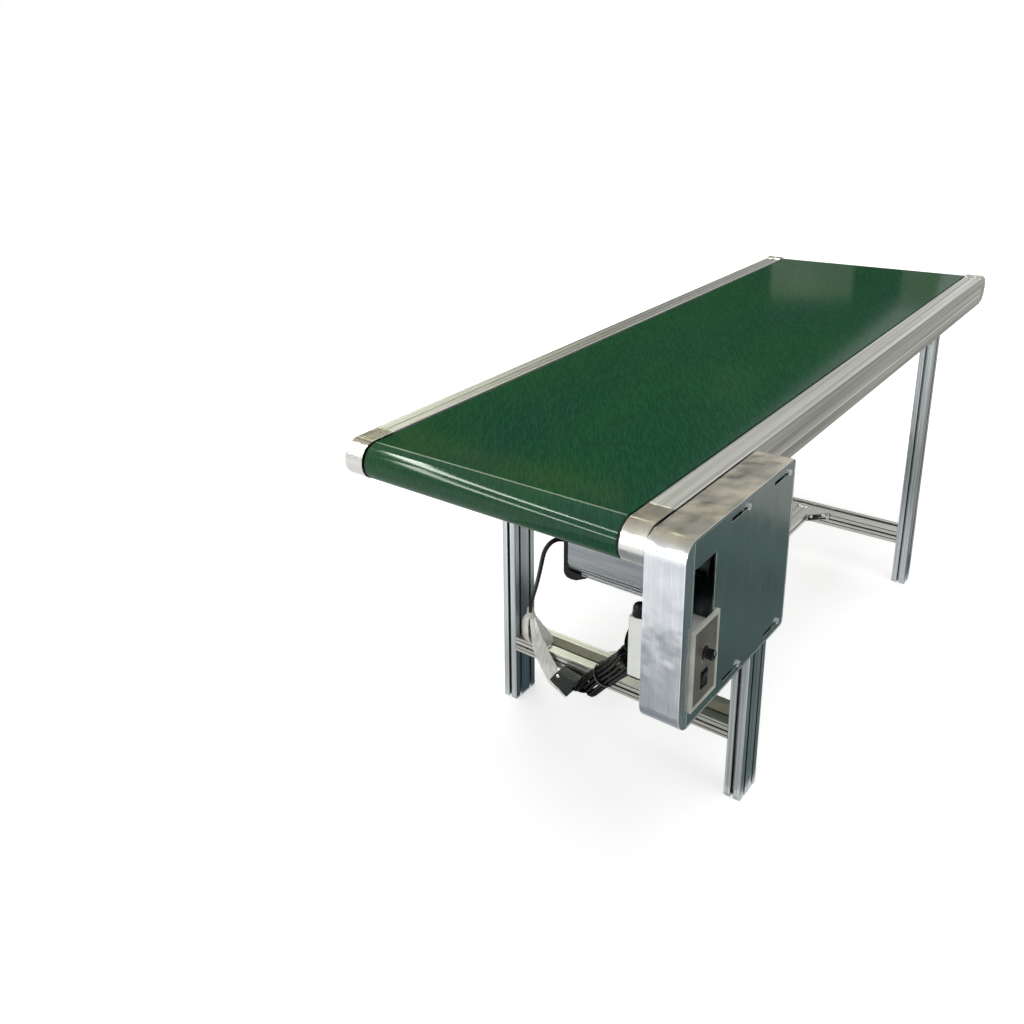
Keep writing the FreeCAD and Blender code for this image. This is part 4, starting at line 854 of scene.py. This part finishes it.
# %% [markdown]
# The studio is a pale floor under a white sky, with three broad lamps. The floor glows
# more the further off it is, like a paper roll that bends up into the sky. Floor and sky
# glow fully only for the camera, reflections and clear film, so the page behind the
# machine is white while its soft shadow stays.

# %% Floor, sky and lamps
def seen_directly(tree):
    # One for the camera, a reflection or clear film, and nought for the light that falls.
    rays = add(tree, "ShaderNodeLightPath").outputs
    seen = rays["Is Camera Ray"]
    for kind in ("Is Glossy Ray", "Is Transmission Ray"):
        seen = add(tree, "ShaderNodeMath", {0: seen, 1: rays[kind]}, operation="MAXIMUM").outputs["Value"]
    return seen


def pale_floor(near_glow, far_glow):
    bpy.ops.mesh.primitive_plane_add(size=80.0, location=(0, 0, -0.0005))
    floor = bpy.context.object
    floor.name = "floor"
    material, tree, surface = finish_of("pale_floor", "#f4f4f2", 0.9, **{
        "Emission Color": linear("#ffffff")})
    shades(tree, surface, grain(tree, 400.0, 400.0, "none"), "#f2f2f0", "#f6f6f5")
    place = add(tree, "ShaderNodeTexCoord").outputs["Object"]
    away = add(tree, "ShaderNodeVectorMath", {0: place}, operation="LENGTH")
    glow = add(tree, "ShaderNodeMapRange", {
        "Value": away.outputs["Value"], "From Min": 0.8, "From Max": 3.5,
        "To Min": near_glow, "To Max": far_glow})
    shown = add(tree, "ShaderNodeMath", {0: seen_directly(tree), 1: glow.outputs["Result"]},
                operation="MULTIPLY")
    tree.links.new(shown.outputs["Value"], surface.inputs["Emission Strength"])
    floor.data.materials.append(material)


def white_sky(strength):
    world = bpy.data.worlds.new("sky")
    bpy.context.scene.world = world
    world.use_nodes = True
    tree = world.node_tree
    tree.nodes.clear()
    level = add(tree, "ShaderNodeMapRange", {
        "Value": seen_directly(tree), "To Min": strength, "To Max": 1.0})
    sky = add(tree, "ShaderNodeBackground", {
        "Color": linear("#ffffff"), "Strength": level.outputs["Result"]})
    add(tree, "ShaderNodeOutputWorld", {"Surface": sky.outputs["Background"]})


def lamp(name, place, target, size, power):
    light = bpy.data.objects.new(name, bpy.data.lights.new(name, "AREA"))
    light.data.shape = "RECTANGLE"
    light.data.size, light.data.size_y = size
    light.data.energy = power
    light.location = place
    light.rotation_mode = "QUATERNION"
    light.rotation_quaternion = (Vector(target) - Vector(place)).to_track_quat("-Z", "Y")
    light.visible_glossy = False
    bpy.context.scene.collection.objects.link(light)


pale_floor(near_glow=0.52, far_glow=0.92)
white_sky(strength=0.45)
lamp("lamp_over", (-0.4, -0.6, 3.6), (0.0, 0.0, 0.5), (2.6, 2.6), 48.0)
lamp("lamp_drive_end", (-4.2, 0.6, 2.2), (-0.4, 0.0, 0.6), (2.2, 2.2), 40.0)
lamp("lamp_far_side", (2.0, 3.6, 2.4), (0.0, 0.0, 0.5), (2.2, 2.2), 25.0)
bpy.context.scene.view_settings.view_transform = "Standard"


# %% [markdown]
# Metal and gloss show nothing but their surroundings, so cards stand round the machine
# and show in reflections alone. A dark one beyond the tail keeps the belt deep green, with
# three paler windows before it. A warm band and a bright line behind it show where the belt curves
# over, and two duller cards hold back what the left rail shows. Two long strips draw the
# light lines on the belt's nose, and mats on the floor are what the plate, the rim, the
# side and the bars mirror.

# %% Reflector cards
def reflector(name, corners, colour, strength, patch=0.4):
    mesh = bpy.data.meshes.new(name)
    mesh.from_pydata(corners, [], [range(len(corners))])
    card = bpy.data.objects.new(name, mesh)
    bpy.context.scene.collection.objects.link(card)
    material, tree, surface = finish_of(name, "#050505", 1.0, **{
        "Specular IOR Level": 0.0, "Emission Color": linear(colour)})
    # Cloth lit from one side is never even: its light varies by a fifth either way.
    clouds = add(tree, "ShaderNodeMapRange", {
        "Value": grain(tree, patch / MM, patch / MM, "none", 1.0), "From Min": 0.35, "From Max": 0.65,
        "To Min": 0.8 * strength, "To Max": 1.2 * strength})
    tree.links.new(clouds.outputs["Result"], surface.inputs["Emission Strength"])
    mesh.materials.append(material)
    card.visible_camera = card.visible_diffuse = card.visible_transmission = card.visible_shadow = False


UPRIGHT = [
    # Name, distance along X, corners as (y, z), colour and strength.
    ("card_dark", 5.5, [(0.78, 1.55), (2.3, 1.55), (6.9, 4.35), (3.25, 4.35)], "#4a544c", 1.0),
    ("card_window_left", 5.48, [(1.5, 1.6), (2.12, 1.6), (2.1, 2.05), (1.5, 1.98)], "#8b9080", 1.9),
    ("card_window_right", 5.48, [(0.9, 1.6), (1.17, 1.6), (1.17, 2.0), (0.95, 2.0)], "#8b9080", 1.5),
    ("card_window_near", 5.48, [(2.1, 2.65), (2.45, 2.65), (2.75, 3.25), (2.3, 3.25)], "#6f7866", 0.9),
    ("card_crest_band", 5.46, [(3.3, 4.0), (6.0, 4.0), (6.2, 4.22), (3.3, 4.22)], "#c4ad6e", 0.9),
    ("card_crest_line", 5.5, [(3.5, 5.2), (6.9, 5.2), (7.8, 6.9), (4.0, 6.9)], "#eff4e0", 8.0),
    ("card_wall", 5.52, [(3.4, 4.28), (12.0, 4.28), (12.0, 9.0), (3.4, 9.0)], "#6a6c63", 1.0),
    ("card_rail_left", 5.44, [(2.2, 1.74), (3.6, 1.74), (10.5, 4.83), (7.6, 4.83)], "#57564a", 1.0),
]
STRIPS = [
    # Name, corners, colour and strength.
    ("card_line_upper", [(-9.0, 1.88, 3.0), (-0.9, 1.88, 3.0), (-0.9, 2.12, 3.0), (-9.0, 2.12, 3.0)],
     "#f4fbf0", 50.0),
    ("card_line_lower", [(-6.0, 1.95, 0.1), (-2.3, 1.95, 2.32), (-2.3, 1.95, 2.62), (-6.0, 1.95, 0.4)],
     "#f4fbf0", 34.0),
]
MATS = [
    # Name, height, corners as (x, y), colour, strength and the size of a cloud.
    ("mat_side_near", 0.004, [(-0.49, -2.6), (0.7, -2.6), (0.7, -0.24), (-0.49, -0.24)],
     "#5a6765", 1.65, 0.4),
    ("mat_side_far", 0.004, [(0.7, -2.6), (5.0, -2.6), (5.0, -0.24), (0.7, -0.24)], "#b0b0ac", 1.0, 0.4),
    ("mat_under", 0.004, [(-0.485, -0.23), (0.0, -0.23), (0.0, 0.283), (-0.485, 0.283)],
     "#46575b", 1.0, 0.4),
    ("mat_bar", 0.006, [(-0.8, -0.22), (-0.5, -0.22), (-0.5, 0.45), (-0.8, 0.45)], "#e4e5e0", 1.0, 0.4),
    ("mat_rim", 0.006, [(-1.8, -0.3), (-1.4, -0.3), (-1.4, -0.04), (-1.8, 0.15)], "#e9ebed", 1.0, 0.4),
    ("mat_front", 0.004, [(-1.75, -0.3), (-0.52, -0.3), (-0.52, 0.42), (-1.75, 0.42)], "#b9bfc1", 1.0, 0.2),
]
for name, x, points, colour, strength in UPRIGHT:
    reflector(name, [(x, y, z) for y, z in points], colour, strength)
for name, corners, colour, strength in STRIPS:
    reflector(name, corners, colour, strength)
for name, z, points, colour, strength, patch in MATS:
    reflector(name, [(x, y, z) for x, y in points], colour, strength, patch)
